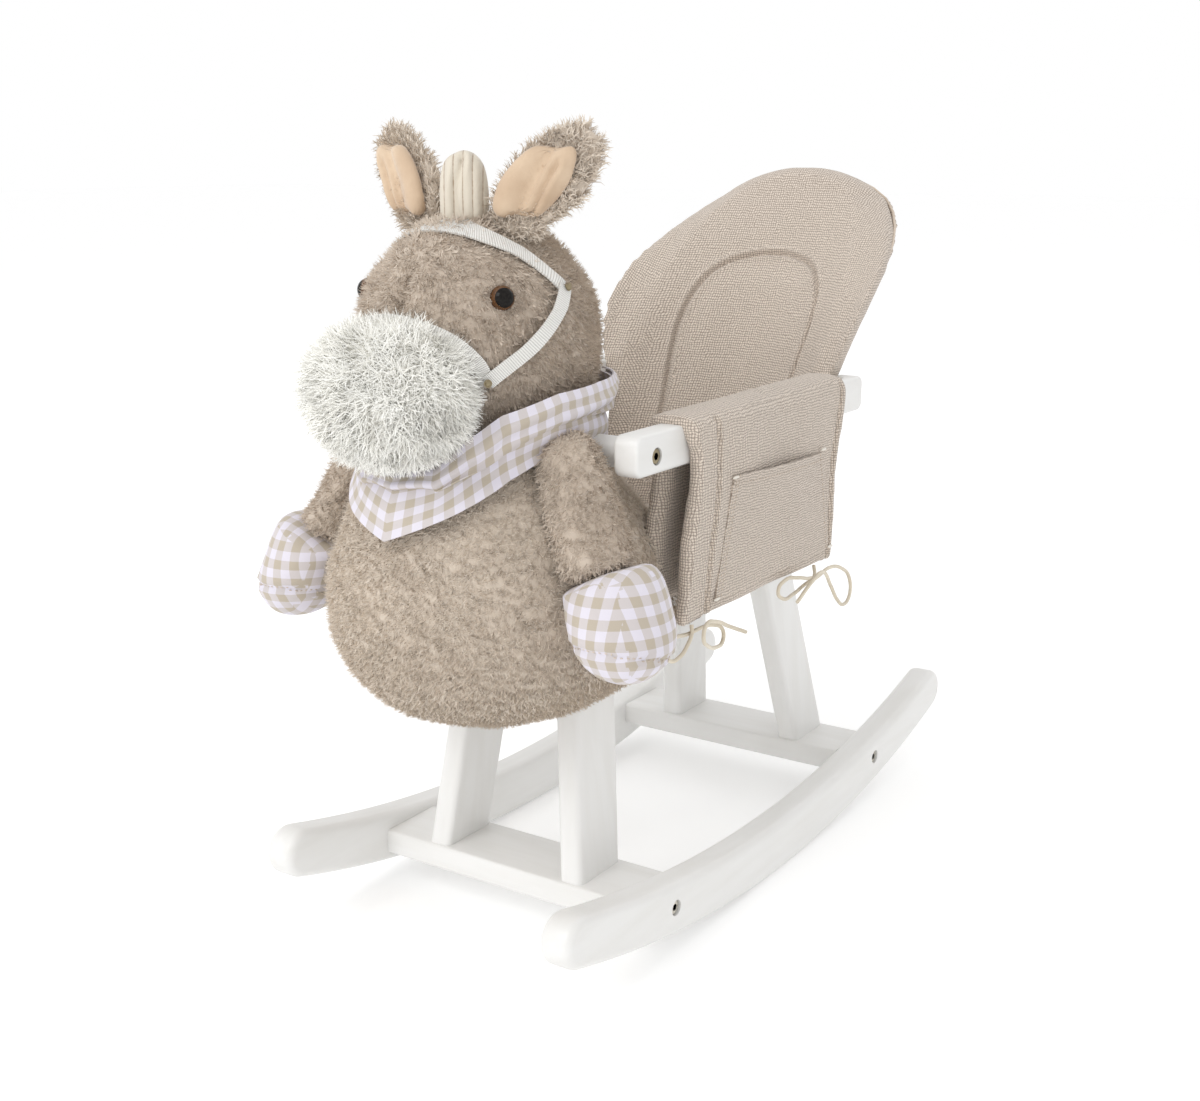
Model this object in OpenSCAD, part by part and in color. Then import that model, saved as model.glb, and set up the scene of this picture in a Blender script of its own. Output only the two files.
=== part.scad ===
// Child's rocking horse: a painted wooden rocker frame, a padded bucket seat
// with side flaps, and a stuffed plush donkey that sits over the front legs.
// The horse faces -Y, +X is its left side and +Z is up.

/* [Rockers] */
// Length of each rocker over its round ends
rocker_l = 654; // [560:1:740]
// Radius of the curve that stands on the floor
rocker_r = 1100; // [900:10:1500]
// Depth of a rocker at its middle
rocker_h = 44; // [40:1:54]
// Thickness of a rocker
rocker_t = 26; // [20:1:32]
// Radius of a rocker's round end
rocker_end_r = 19; // [15:1:20]
// Gap between the two rockers
rocker_gap = 228; // [200:1:270]

/* [Cross boards] */
// Width of each cross board, front to back
board_d = 60; // [56:1:72]
// Thickness of each cross board
board_t = 20; // [18:1:26]
// Height of the boards' underside above the floor
board_z = 29; // [26:1:34]
// Middle of the front board
front_board_y = -187; // [-200:1:-160]
// Middle of the rear board
rear_board_y = 171; // [160:1:190]

/* [Legs] */
// Thickness of a leg, side to side
leg_w = 20; // [18:1:24]
// Depth of a leg, front to back
leg_d = 55; // [40:1:56]
// Distance of a leg's foot from the middle plane
leg_x = 63; // [50:1:72]
// Inward lean of every leg, in degrees
leg_splay = 6.4; // [0:0.1:8]
// Backward lean of the front legs, in degrees
front_rake = 7.3; // [0:0.1:9]
// Forward lean of the rear legs, in degrees
rear_rake = 13.2; // [0:0.1:14]
// Radius on the long edges of a leg
leg_edge = 4; // [1:0.5:6]

/* [Seat board and arm rails] */
// Height of the seat board's underside
seat_z = 245; // [230:1:262]
// Thickness of the seat board
seat_t = 12; // [9:1:14]
// Width of the seat board
seat_w = 196; // [180:1:196]
// Front edge of the seat board
seat_front = -223; // [-230:1:-222]
// Rear edge of the seat board
seat_back = 156; // [153:1:162]
// Distance of an arm rail's middle from the middle plane
rail_x = 120; // [118:1:126]
// Thickness of an arm rail
rail_w = 20; // [16:1:22]
// Height of an arm rail's section
rail_h = 29; // [26:1:34]
// Height of the rails' middle line
rail_z = 382; // [376:1:390]
// Front end of the rails
rail_front = -229; // [-236:1:-224]
// Rear end of the rails
rail_back = 132; // [128:1:140]
// Radius of the round bar between the rails
bar_r = 11; // [9:0.5:12]
// Place of the bar, front to back
bar_y = -204; // [-206:1:-200]
// Height of the bar
bar_z = 380; // [376:1:384]
// Thickness of the upright inside the plush, side to side
post_w = 18; // [15:1:24]
// Depth of the upright, front to back
post_d = 34; // [30:1:36]
// Top of the upright
post_top = 404; // [398:1:420]

/* [Backrest and seat cover] */
// Slope of the backrest, backwards for each step up
back_slope = 0.61; // [0.5:0.01:0.65]
// Front face of the backrest pad at the seat board
back_y = 82; // [76:1:86]
// How far the backrest's wings come forward at 100 mm from the middle
back_dish = 60; // [45:1:64]
// Half width of the backrest pad at its widest
back_half_w = 122; // [112:1:126]
// Top of the backrest pad
back_top = 562; // [540:1:570]
// Thickness of the backrest pad
pad_t = 24; // [18:1:26]
// Thickness of the bent plywood shell
ply_t = 9; // [6:1:10]
// Thickness of the fabric sleeve behind the shell
sleeve_t = 3; // [2:0.5:4]
// Thickness of the seat pad
seat_pad_t = 20; // [14:1:26]
// Front edge of the seat pad
seat_pad_front = -50; // [-54:1:-40]
// Thickness of a side flap
flap_t = 10; // [8:0.5:10]
// Front edge of the flaps
flap_front = -176; // [-180:1:-170]
// Rear edge of the flaps
flap_back = 70; // [66:1:72]
// Height of the flaps' lower hem
flap_low = 252; // [250:1:260]

/* [Plush] */
// Wall that stands for the plush skin and its stuffing
plush_wall = 4.5; // [4:0.5:6]
// Height of the neck seam between body and head
neck_z = 388; // [386:1:390]
// Half width, half depth and half height of the muzzle
muzzle_r = [64, 50, 50];
// Radius of an eye
eye_r = 7.5; // [6:0.5:9]
// Width of the webbing bridle
webbing_w = 9; // [7:0.5:11]
// Thickness of the webbing
webbing_t = 1.6; // [1.2:0.1:2]
// Diameter of the tie cords
tie_d = 3; // [2.4:0.1:3.4]

/* [Fasteners] */
// Radius of the frame bolts
bolt_r = 3; // [2.5:0.5:4]
// Radius of the bolts' heads
bolt_head_r = 5.2; // [4.5:0.1:6]
// Height of the bolts' heads
bolt_head_h = 4; // [3:0.5:5]
// Radius of the cross dowel nuts in the boards
nut_r = 5; // [4.5:0.5:6]
// Radius of the wood screws
screw_r = 2; // [1.5:0.5:2.5]

/* [Hidden] */
$fn = 64;
fit = 0.1;
soft_gap = 0.4;
pad_gap = 1.6;

// the rockers' middle, counted from the origin under the middle of the whole box
base_y = 25.5;
seat_top = seat_z + seat_t;
board_top = board_z + board_t;
bolt_z = board_z + board_t / 2;
rocker_x = rocker_gap / 2;
sides = [1, -1];

// rocker outline: bottom arc, top arc and a round end that touches both
end_a = asin((rocker_l / 2 - rocker_end_r) / (rocker_r - rocker_end_r));
end_y = sin(end_a) * (rocker_r - rocker_end_r);
end_z = rocker_r - cos(end_a) * (rocker_r - rocker_end_r);
top_r = (pow(end_y, 2) + pow(rocker_h - end_z, 2) - pow(rocker_end_r, 2))
    / (2 * (rocker_end_r - rocker_h + end_z));

// fasteners
counterbore_d = 5.5;
bolt_l = rocker_t + 36 - counterbore_d;
nut_x = rocker_x - 30;
nut_l = 13;
screw_head_r = 2 * screw_r;
leg_screw_y = 14;
seat_screw_y = 12;
tab_z = rail_z - 8;
tab_h = 16;
rail_screw_y = 106;

// backrest surface: y of the pad's front face at a place x, z
wide_z = 470;
low_half_w = 97;
function ease(t) = let (u = min(1, max(0, t))) u * u * (3 - 2 * u);
function dish(z) = z < 400 ? back_dish : max(0, back_dish - 30 * pow((z - 400) / 100, 2));
function back_face(x, z) = back_y + (z - seat_top) * back_slope - dish(z) * pow(x / 100, 2);
function back_half(z) = low_half_w + (back_half_w - low_half_w) * ease((z - 330) / 140);
back_low_rows = 9;
function back_levels(inset, z0) = concat(
    [for (i = [0 : back_low_rows]) z0 + (wide_z - z0) * i / back_low_rows],
    [for (a = [15 : 15 : 75]) wide_z + (back_top - wide_z - inset) * sin(a)],
    [wide_z + (back_top - wide_z - inset) * sin(83)]);
function back_rim(z, inset) = z <= wide_z ? back_half(z) - inset
    : (back_half_w - inset) * sqrt(1 - pow((z - wide_z) / (back_top - wide_z - inset), 2));
function back_grid(inset, off, z0, cols = 14) = [for (z = back_levels(inset, z0))
    [for (j = [0 : cols]) let (x = back_rim(z, inset) * (2 * j / cols - 1)) [x, back_face(x, z) + off, z]]];

// plush body and head: half width, half depth and middle at a height
body_rings = [
    [182, 20, 24, -215], [186, 58, 68, -212], [200, 92, 105, -208], [225, 118, 130, -205],
    [255, 129, 140, -203], [285, 127, 134, -206], [315, 117, 120, -212], [345, 98, 106, -219],
    [370, 78, 90, -224], [neck_z, 66, 76, -228]];
head_rings = [
    [neck_z, 66, 76, -228], [405, 73, 85, -229], [430, 79, 93, -230], [455, 81, 96, -230],
    [480, 78, 92, -230], [500, 69, 82, -230], [520, 53, 63, -231], [532, 36, 43, -232], [540, 12, 15, -233]];
skin = concat(body_rings, [for (i = [1 : len(head_rings) - 1]) head_rings[i]]);
function skin_at(z, k) = lookup(z, [for (r = skin) [r[0], r[k]]]);
function skin_pt(a, z, off) = [(skin_at(z, 1) + off) * sin(a), skin_at(z, 3) - (skin_at(z, 2) + off) * cos(a), z];

// shoulders, about which the plush arms swing
shoulder_y = -240;
shoulder_z = 378;
arm_rings = [
    [82, -242, 398, 9, 10], [83, -242, 392, 19, 20], [86, -244, 380, 24, 27], [91, -247, 362, 27, 30],
    [100, -250, 342, 27, 30], [111, -255, 324, 27, 30], [121, -259, 308, 27, 30]];
hoof_rings = [
    [121, -259, 308, 27, 30], [130, -261, 299, 32, 36], [137, -263, 287, 35, 41], [142, -265, 272, 35, 40],
    [145, -267, 257, 31, 34], [147, -268, 246, 21, 23], [148, -268, 241, 8, 10]];

// bridle: angle round the head and height of each point, and the two rivets on each side
brow_path = [[-88, 494], [-76, 512], [-60, 524], [-36, 532], [-12, 535], [12, 535], [36, 532], [60, 524],
    [76, 512], [88, 494]];
cheek_path = [[88, 494], [81, 482], [73, 469], [63, 456], [53, 445], [45, 436]];
nose_path = [[-45, 436], [-42, 450], [-36, 462], [-27, 473], [-15, 481], [0, 484], [15, 481], [27, 473],
    [36, 462], [42, 450], [45, 436]];
rivet_places = [[88, 494], [45, 436]];
rivet_r = 3.2;

// ties: each bow is one cord, from the flap's hem and round the knot
front_tie = [
    [137, -166, 252], [138, -167, 246], [139, -175, 239], [140, -187, 234], [139, -199, 234],
    [137, -204, 241], [136, -197, 247], [135, -184, 247], [135, -168, 245], [137, -152, 246],
    [139, -138, 245], [141, -127, 239], [142, -128, 231], [143, -140, 229], [144, -154, 234],
    [146, -164, 243], [146, -160, 252], [146, -147, 251], [146, -126, 242], [146, -100, 231]];
rear_tie = [
    [137, 33, 252], [140, 29, 246], [144, 12, 247], [145, -12, 253], [145, -35, 256],
    [145, -46, 250], [145, -38, 242], [143, -15, 240], [141, 10, 242], [140, 32, 242],
    [141, 54, 246], [142, 76, 241], [142, 94, 227], [142, 95, 213], [143, 82, 208],
    [144, 66, 216], [145, 50, 232], [146, 32, 248], [147, 10, 245], [147, -16, 234]];

white = "#f3f1ec";
steel = "#b8b4a6";
brass = "#8a7440";
linen = "#cbb9a6";
fur = "#b7a594";
gingham = "#d9d2d6";

// ---- general shapes ----

// moves the model so that its whole box stands over the origin
module placed() { translate([0, base_y, 0]) children(); }

module on_side(side) { if (side > 0) children(); else mirror([1, 0, 0]) children(); }

// closed solid between two grids of points, the first one facing -Y or outwards
module slab(front, back) {
    rows = len(front);
    cols = len(front[0]);
    n = rows * cols;
    points = concat([for (r = front) each r], [for (r = back) each r]);
    polyhedron(points, concat(
        [for (i = [0 : rows - 2], j = [0 : cols - 2]) each let (p = i * cols + j)
            [[p, p + cols, p + 1], [p + 1, p + cols, p + cols + 1],
             [n + p, n + p + 1, n + p + cols], [n + p + 1, n + p + cols + 1, n + p + cols]]],
        [for (i = [0 : rows - 2]) each let (a = i * cols, b = a + cols, c = a + cols - 1, d = c + cols)
            [[a, n + a, b], [b, n + a, n + b], [c, d, n + c], [d, n + d, n + c]]],
        [for (j = [0 : cols - 2]) each let (a = j, c = (rows - 1) * cols + j)
            [[a, a + 1, n + a], [a + 1, n + a + 1, n + a], [c, n + c, c + 1], [c + 1, n + c, n + c + 1]]]));
}

// closed solid through flat oval rings, each [x, y, z, half width, half depth, turn]
module loft(rings, seg = 32) {
    rows = len(rings);
    points = [for (r = rings, j = [0 : seg - 1])
        let (a = 360 * j / seg, t = len(r) > 5 ? r[5] : 0, u = r[3] * cos(a), v = r[4] * sin(a))
        [r[0] + u * cos(t) - v * sin(t), r[1] + u * sin(t) + v * cos(t), r[2]]];
    polyhedron(points, concat(
        [[for (j = [0 : seg - 1]) j]],
        [[for (j = [seg - 1 : -1 : 0]) (rows - 1) * seg + j]],
        [for (i = [0 : rows - 2], j = [0 : seg - 1]) each
            let (k = (j + 1) % seg, a = i * seg + j, b = i * seg + k, c = a + seg, d = b + seg)
            [[a, c, b], [b, c, d]]]));
}

// a plush shape's rings, in or out by an offset
function oval_rings(table, off) = [for (r = table) [0, r[3], r[0], max(1, r[1] + off), max(1, r[2] + off)]];

// the same shape one wall thickness further in, closed at both ends
function core_rings(table, wall) = let (n = len(table) - 1) [for (i = [0 : n]) let (r = table[i])
    [0, r[3], i == 0 ? r[0] + wall : i == n ? r[0] - wall : min(max(r[0], table[0][0] + wall + i), table[n][0] - wall - n + i),
        max(1, r[1] - wall), max(1, r[2] - wall)]];

module rounded(w, d, r) {
    square([w - 2 * r, d], center = true);
    square([w, d - 2 * r], center = true);
    for (x = sides, y = sides) translate([x * (w / 2 - r), y * (d / 2 - r)]) circle(r, $fn = 24);
}

module along_x(x0, x1) { translate([x0, 0, 0]) rotate([90, 0, 90]) linear_extrude(x1 - x0) children(); }

// countersunk wood screw, head at the origin, running up +Z
module screw(l, r) {
    difference() {
        union() {
            cylinder(h = l, r = r, $fn = 24);
            cylinder(h = r, r1 = screw_head_r, r2 = r, $fn = 24);
        }
        translate([0, 0, -fit]) cylinder(h = r / 2, r = r / 2, $fn = 6);
    }
}

module screw_hole(l, r) {
    translate([0, 0, -fit]) cylinder(h = l + fit, r = r + fit, $fn = 24);
    cylinder(h = r, r1 = screw_head_r + fit, r2 = r + fit, $fn = 24);
}

// hexagon socket bolt along +X, the head's top at the origin, running to -X
module bolt(l) {
    rotate([0, -90, 0]) difference() {
        union() {
            cylinder(h = bolt_head_h, r = bolt_head_r);
            cylinder(h = l, r = bolt_r);
        }
        translate([0, 0, -fit]) cylinder(h = bolt_head_h * 0.6, r = bolt_r * 0.9, $fn = 6);
    }
}

module bolt_hole(l) {
    rotate([0, -90, 0]) {
        translate([0, 0, -20]) cylinder(h = 20 + bolt_head_h, r = bolt_head_r + 0.5);
        cylinder(h = l + 1, r = bolt_r + fit);
    }
}

// ---- where the fasteners go ----

module at_rocker_bolts(side) {
    for (y = [front_board_y, rear_board_y]) translate([rocker_x + rocker_t - counterbore_d + bolt_head_h, y, bolt_z])
        children();
}

module at_leg(side, front) {
    translate([side * leg_x, front ? front_board_y : rear_board_y, board_top]) children();
}

function leg_lean(front) = front ? tan(front_rake) : -tan(rear_rake);
function leg_top(side, front) = [
    side * (leg_x - tan(leg_splay) * (seat_z - board_top)),
    (front ? front_board_y : rear_board_y) + leg_lean(front) * (seat_z - board_top), seat_top];

module at_leg_screws(side, front) {
    for (s = sides) translate([side * (leg_x - 1), (front ? front_board_y : rear_board_y) + s * leg_screw_y, board_z])
        children();
}

module at_seat_screws(side, front) {
    for (s = sides) translate(leg_top(side, front) + [side, s * seat_screw_y, 0]) rotate([180, 0, 0]) children();
}

module at_post_screws() {
    for (y = sides) translate([0, bar_y + y * 9, seat_z]) children();
}

module at_backrest_screws() {
    for (x = [-45, 0, 45])
        translate([x, back_face(x, seat_z) + pad_t + pad_gap + ply_t / 2, seat_z])
            rotate([-atan(back_slope), 0, 0]) children();
}

// ---- rockers and cross boards ----

// points along an arc about [cy, cz]
function arc(cy, cz, r, a0, a1, steps) = [for (i = [0 : steps])
    let (a = a0 + (a1 - a0) * i / steps) [cy + r * cos(a), cz + r * sin(a)]];

module rocker_outline() {
    top_a = atan(end_y / (rocker_h + top_r - end_z));
    polygon(concat(
        arc(0, rocker_r, rocker_r, -90 - end_a, -90 + end_a, 72),
        arc(end_y, end_z, rocker_end_r, -82 + end_a, 82 + top_a, 22),
        arc(0, rocker_h + top_r, top_r, -90 + top_a, -90 - top_a, 72),
        arc(-end_y, end_z, rocker_end_r, 98 - top_a, 262 - end_a, 22)));
}

module rocker() {
    placed() color(white) difference() {
        along_x(rocker_x, rocker_x + rocker_t) rocker_outline();
        at_rocker_bolts(1) bolt_hole(bolt_l);
    }
}
module left_rocker() { rocker(); }
module right_rocker() { mirror([1, 0, 0]) rocker(); }

module crossboard(y) {
    placed() color(white) difference() {
        along_x(-rocker_x, rocker_x) translate([y, bolt_z]) rounded(board_d, board_t, 2);
        for (s = sides) on_side(s) {
            at_rocker_bolts(1) bolt_hole(bolt_l);
            translate([nut_x, y, board_z - 1]) cylinder(h = board_t - 1, r = nut_r + fit);
        }
        for (s = sides) at_leg_screws(s, y < 0) screw_hole(board_t + 1, screw_r);
    }
}
module front_crossboard() { crossboard(front_board_y); }
module rear_crossboard() { crossboard(rear_board_y); }

// ---- legs ----

module leg(side, front) {
    placed() color(white) difference() {
        intersection() {
            at_leg(side, front)
                multmatrix([[1, 0, -side * tan(leg_splay), 0], [0, 1, leg_lean(front), 0], [0, 0, 1, 0]])
                    linear_extrude(seat_z - board_top) rounded(leg_w, leg_d, leg_edge);
            translate([-200, -300, board_top]) cube([400, 600, seat_z - board_top]);
        }
        at_leg_screws(side, front) cylinder(h = 55, r = screw_r + fit / 2, $fn = 24);
        at_seat_screws(side, front) cylinder(h = 47, r = screw_r + fit / 2, $fn = 24);
    }
}
module front_left_leg() { leg(1, true); }
module front_right_leg() { leg(-1, true); }
module rear_left_leg() { leg(1, false); }
module rear_right_leg() { leg(-1, false); }

// ---- seat board, neck post, bar and arm rails ----

module seat_board() {
    placed() color("#e6d3b0") difference() {
        translate([0, (seat_front + seat_back) / 2, seat_z]) linear_extrude(seat_t)
            rounded(seat_w, seat_back - seat_front, 18);
        for (s = sides, f = [true, false]) at_seat_screws(s, f) screw_hole(seat_t + 1, screw_r);
        at_post_screws() screw_hole(seat_t + 1, screw_r);
        at_backrest_screws() screw_hole(seat_t * 2, screw_r - 0.4);
    }
}

module neck_post() {
    placed() color("#e6d3b0") difference() {
        translate([0, bar_y, seat_top]) linear_extrude(post_top - seat_top) rounded(post_w, post_d, 3);
        translate([-post_w, bar_y, bar_z]) rotate([0, 90, 0]) cylinder(h = 2 * post_w, r = bar_r + fit);
        at_post_screws() cylinder(h = 60, r = screw_r + fit / 2, $fn = 24);
    }
}

rail_in = rail_x - rail_w / 2;
rail_out = rail_x + rail_w / 2;

module front_bar() {
    placed() color(white) difference() {
        translate([-rail_in, bar_y, bar_z]) rotate([0, 90, 0]) cylinder(h = 2 * rail_in, r = bar_r);
        for (s = sides) on_side(s) translate([rail_out - 1, bar_y, bar_z]) rotate([0, -90, 0])
            cylinder(h = rail_w + 40, r = bolt_r + fit / 2);
    }
}

// strip of the backrest's surface that reaches out into the rail
function tab_grid(off, grow) = [for (z = [tab_z - grow, tab_z + tab_h + grow])
    [for (j = [0 : 6]) let (x = 86 + (rail_x + 4 + grow - 86) * j / 6) [x, back_face(x, z) + off, z]]];

module shell_tab(grow) {
    slab(tab_grid(pad_t + pad_gap - grow, grow), tab_grid(pad_t + pad_gap + ply_t + grow, grow));
}

module arm_rail() {
    placed() color(white) difference() {
        along_x(rail_in, rail_out) translate([(rail_front + rail_back) / 2, rail_z])
            rounded(rail_back - rail_front, rail_h, 7);
        translate([rail_out - 0.8, bar_y, bar_z]) bolt_hole(rail_w + 1);
        shell_tab(0.3);
        translate([rail_x - 1, rail_screw_y, rail_z + rail_h / 2]) rotate([180, 0, 0]) screw_hole(24, screw_r);
    }
}
module left_arm_rail() { arm_rail(); }
module right_arm_rail() { mirror([1, 0, 0]) arm_rail(); }

module backrest_shell() {
    placed() color("#e6d3b0") difference() {
        union() {
            slab(back_grid(14, pad_t + pad_gap, seat_top), back_grid(14, pad_t + pad_gap + ply_t, seat_top));
            for (s = sides) on_side(s) shell_tab(0);
        }
        at_backrest_screws() cylinder(h = 48, r = screw_r - 0.4 + fit / 2, $fn = 24);
        for (s = sides) on_side(s) translate([rail_x - 1, rail_screw_y, rail_z - 20]) cylinder(h = 50, r = screw_r + fit);
    }
}

// ---- fasteners ----

module rocker_bolts() {
    placed() color(steel) for (s = sides) on_side(s) at_rocker_bolts(1) bolt(bolt_l);
}

module cross_dowel_nuts() {
    placed() color(steel) for (s = sides, y = [front_board_y, rear_board_y]) difference() {
        translate([s * nut_x, y, bolt_z - nut_l / 2]) cylinder(h = nut_l, r = nut_r);
        translate([s * nut_x - 20, y, bolt_z]) rotate([0, 90, 0]) cylinder(h = 40, r = bolt_r + fit / 2);
    }
}

module leg_screws() {
    placed() color(steel) for (s = sides, f = [true, false]) at_leg_screws(s, f) screw(54, screw_r);
}

module seat_screws() {
    placed() color(steel) for (s = sides, f = [true, false]) at_seat_screws(s, f) screw(46, screw_r);
}

module post_screws() { placed() color(steel) at_post_screws() screw(56, screw_r); }

module backrest_screws() { placed() color(steel) at_backrest_screws() screw(46, screw_r - 0.4); }

module rail_bolts() {
    placed() color(brass) for (s = sides) on_side(s) translate([rail_out - 0.8, bar_y, bar_z]) bolt(rail_w + 36);
}

module rail_screws() {
    placed() color(brass) for (s = sides)
        translate([s * (rail_x - 1), rail_screw_y, rail_z + rail_h / 2]) rotate([180, 0, 0]) screw(22, screw_r);
}

// ---- seat cover ----

flap_in = rail_in - soft_gap - flap_t;
flap_out = rail_out + soft_gap + flap_t;
flap_top = rail_z + rail_h / 2 + soft_gap + flap_t;

module seat_pad() {
    half = flap_in - soft_gap;
    placed() color(linen) translate([0, 0, seat_top + soft_gap]) linear_extrude(seat_pad_t)
        polygon(concat([[-half, seat_pad_front], [half, seat_pad_front]],
            [for (i = [10 : -1 : -10]) [half * i / 10, back_face(half * i / 10, seat_top) - soft_gap]]));
}

module backrest_pad() {
    placed() color(linen) slab(back_grid(0, 0, seat_top), back_grid(0, pad_t, seat_top));
}

module backrest_sleeve() {
    behind = pad_t + ply_t + 2 * pad_gap;
    placed() color(linen) difference() {
        slab(back_grid(0, behind, seat_top), back_grid(0, behind + sleeve_t, seat_top));
        for (s = sides) on_side(s) shell_tab(0.3);
    }
}

module flap_section() {
    r = flap_t;
    difference() {
        union() {
            translate([flap_in, seat_top + soft_gap]) square([flap_t, flap_top - r - seat_top - soft_gap]);
            translate([flap_out - flap_t, flap_low]) square([flap_t, flap_top - r - flap_low]);
            translate([flap_in + r, flap_top - flap_t]) square([flap_out - flap_in - 2 * r, flap_t]);
            for (x = [flap_in + r, flap_out - r]) translate([x, flap_top - r]) circle(r);
        }
        translate([rail_in - soft_gap, 0]) square([rail_w + 2 * soft_gap, flap_top - flap_t]);
    }
}

module side_flap() {
    placed() color(linen) translate([0, flap_back, 0]) rotate([90, 0, 0])
        linear_extrude(flap_back - flap_front) flap_section();
}
module left_side_flap() { side_flap(); }
module right_side_flap() { mirror([1, 0, 0]) side_flap(); }

module pocket() {
    placed() color(linen) along_x(flap_out + fit, flap_out + fit + 3.5)
        polygon([[-140, 264], [46, 264], [28, 350], [-116, 352]]);
}
module left_pocket() { pocket(); }
module right_pocket() { mirror([1, 0, 0]) pocket(); }

// tube of 8 sides along a route
function unit(v) = v / norm(v);
function tangent(p, i) = unit(p[min(i + 1, len(p) - 1)] - p[max(i - 1, 0)]);
module tie(route) {
    seg = 8;
    n = len(route);
    points = [for (i = [0 : n - 1])
        let (t = tangent(route, i), u = unit(cross(t, [1, 0.1, 0])), v = cross(t, u))
        each [for (j = [0 : seg - 1]) route[i] + (u * cos(45 * j) + v * sin(45 * j)) * tie_d / 2]];
    placed() color("#e8dcc4") polyhedron(points, concat(
        [[for (j = [seg - 1 : -1 : 0]) j]],
        [[for (j = [0 : seg - 1]) (n - 1) * seg + j]],
        [for (i = [0 : n - 2], j = [0 : seg - 1]) each
            let (k = (j + 1) % seg, a = i * seg + j, b = i * seg + k)
            [[a, b, a + seg], [b, b + seg, a + seg]]]));
}
module left_front_tie() { tie(front_tie); }
module left_rear_tie() { tie(rear_tie); }
module right_front_tie() { mirror([1, 0, 0]) tie(front_tie); }
module right_rear_tie() { mirror([1, 0, 0]) tie(rear_tie); }

// ---- plush ----

// room for the seat board and the front legs
module wood_room(grow) {
    translate([0, (seat_front + seat_back) / 2, seat_z - grow]) linear_extrude(seat_t + 2 * grow)
        rounded(seat_w + 2 * grow, seat_back - seat_front + 2 * grow, 18);
    for (s = sides) at_leg(s, true)
        multmatrix([[1, 0, -s * tan(leg_splay), 0], [0, 1, leg_lean(true), 0], [0, 0, 1, 0]])
            linear_extrude(seat_z - board_top) rounded(leg_w + 2 * grow, leg_d + 2 * grow, leg_edge + grow);
}

module flap_room(grow) {
    for (s = sides) on_side(s)
        translate([flap_in - grow, flap_front - grow, seat_z - grow]) cube([60, 200, 200]);
}

module post_room(grow) {
    translate([0, bar_y, seat_top]) linear_extrude(200) square([post_w + 2 * grow, post_d + 2 * grow], center = true);
}

module bar_room(grow) {
    translate([-rail_in, bar_y, bar_z]) rotate([0, 90, 0]) cylinder(h = 2 * rail_in, r = bar_r + grow);
}

module plush_body() {
    placed() color(fur) difference() {
        loft(oval_rings(body_rings, 0));
        wood_room(soft_gap);
        flap_room(soft_gap);
        post_room(soft_gap);
        bar_room(fit);
        difference() {
            loft(core_rings(body_rings, plush_wall));
            flap_room(soft_gap + plush_wall);
        }
    }
}

module plush_head() {
    placed() color(fur) difference() {
        loft(oval_rings(head_rings, 0));
        post_room(soft_gap);
        bar_room(fit);
        loft(core_rings(head_rings, plush_wall));
    }
}

muzzle_at = [0, -328, 428];
function muzzle_rings(off) = [for (a = [-84, -65, -52, -39, -26, -13, 0, 13, 26, 39, 52, 65, 84])
    [0, muzzle_at[1], muzzle_at[2] + (muzzle_r[2] + off) * sin(a),
        (muzzle_r[0] + off) * cos(a), (muzzle_r[1] + off) * cos(a)]];

module muzzle() {
    placed() color("#f4f1e6") difference() {
        loft(muzzle_rings(0));
        loft(muzzle_rings(-plush_wall), 24);
        loft(oval_rings(head_rings, soft_gap));
        loft(oval_rings(body_rings, soft_gap));
    }
}

eye_place = [52, 489];
module eye(side) {
    p = skin_pt(eye_place[0] * side, eye_place[1], 1);
    placed() color("#3b2415") difference() {
        translate(p) sphere(eye_r, $fn = 32);
        loft(oval_rings(head_rings, 0.2));
    }
}
module left_eye() { eye(1); }
module right_eye() { eye(-1); }

ear_turn = 20;
ear_rings = [
    [40, -238, 524, 15, 10], [43, -237, 534, 21, 11], [50, -233, 548, 30, 12], [58, -229, 562, 34, 12],
    [66, -226, 576, 33, 11], [74, -223, 588, 24, 9], [79, -221, 597, 9, 5]];
lining_rings = [
    [45, -243, 538, 9, 7], [51, -242, 548, 17, 7], [58, -239, 562, 21, 7], [65, -236, 576, 19, 7], [72, -233, 587, 10, 6]];
function turned(rings, off) = [for (r = rings) [r[0], r[1], r[2], r[3] + off, r[4] + off, ear_turn]];

module ear() {
    placed() color(fur) difference() {
        loft(turned(ear_rings, 0), 24);
        loft(oval_rings(head_rings, 0.2));
    }
}
module ear_lining() {
    placed() color("#e8cfae") difference() {
        loft(turned(lining_rings, 0), 24);
        loft(turned(ear_rings, 0.1), 24);
        loft(oval_rings(head_rings, 0.2));
    }
}
module left_ear() { ear(); }
module right_ear() { mirror([1, 0, 0]) ear(); }
module left_ear_lining() { ear_lining(); }
module right_ear_lining() { mirror([1, 0, 0]) ear_lining(); }

module forelock() {
    placed() color("#c9b79c") difference() {
        along_x(-19, 19) union() {
            translate([-258, 530]) square([26, 38]);
            translate([-245, 568]) circle(13);
        }
        loft(oval_rings(head_rings, 0.2));
        loft(turned(ear_rings, 0.2), 24);
        mirror([1, 0, 0]) loft(turned(ear_rings, 0.2), 24);
    }
}

// what the arm may not enter: the flank, everywhere in the arm's swing, the bar and the rail
module flank(grow) {
    loft(oval_rings(body_rings, grow));
    translate([0, shoulder_y, shoulder_z]) rotate([0, 90, 0]) rotate_extrude()
        polygon([[0, 0], [60, 0], [60, skin_at(shoulder_z - 60, 1) + grow], [33, skin_at(shoulder_z - 33, 1) + grow],
            [8, skin_at(shoulder_z - 8, 1) + grow], [0, skin_at(shoulder_z, 1) + grow]]);
}

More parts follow.
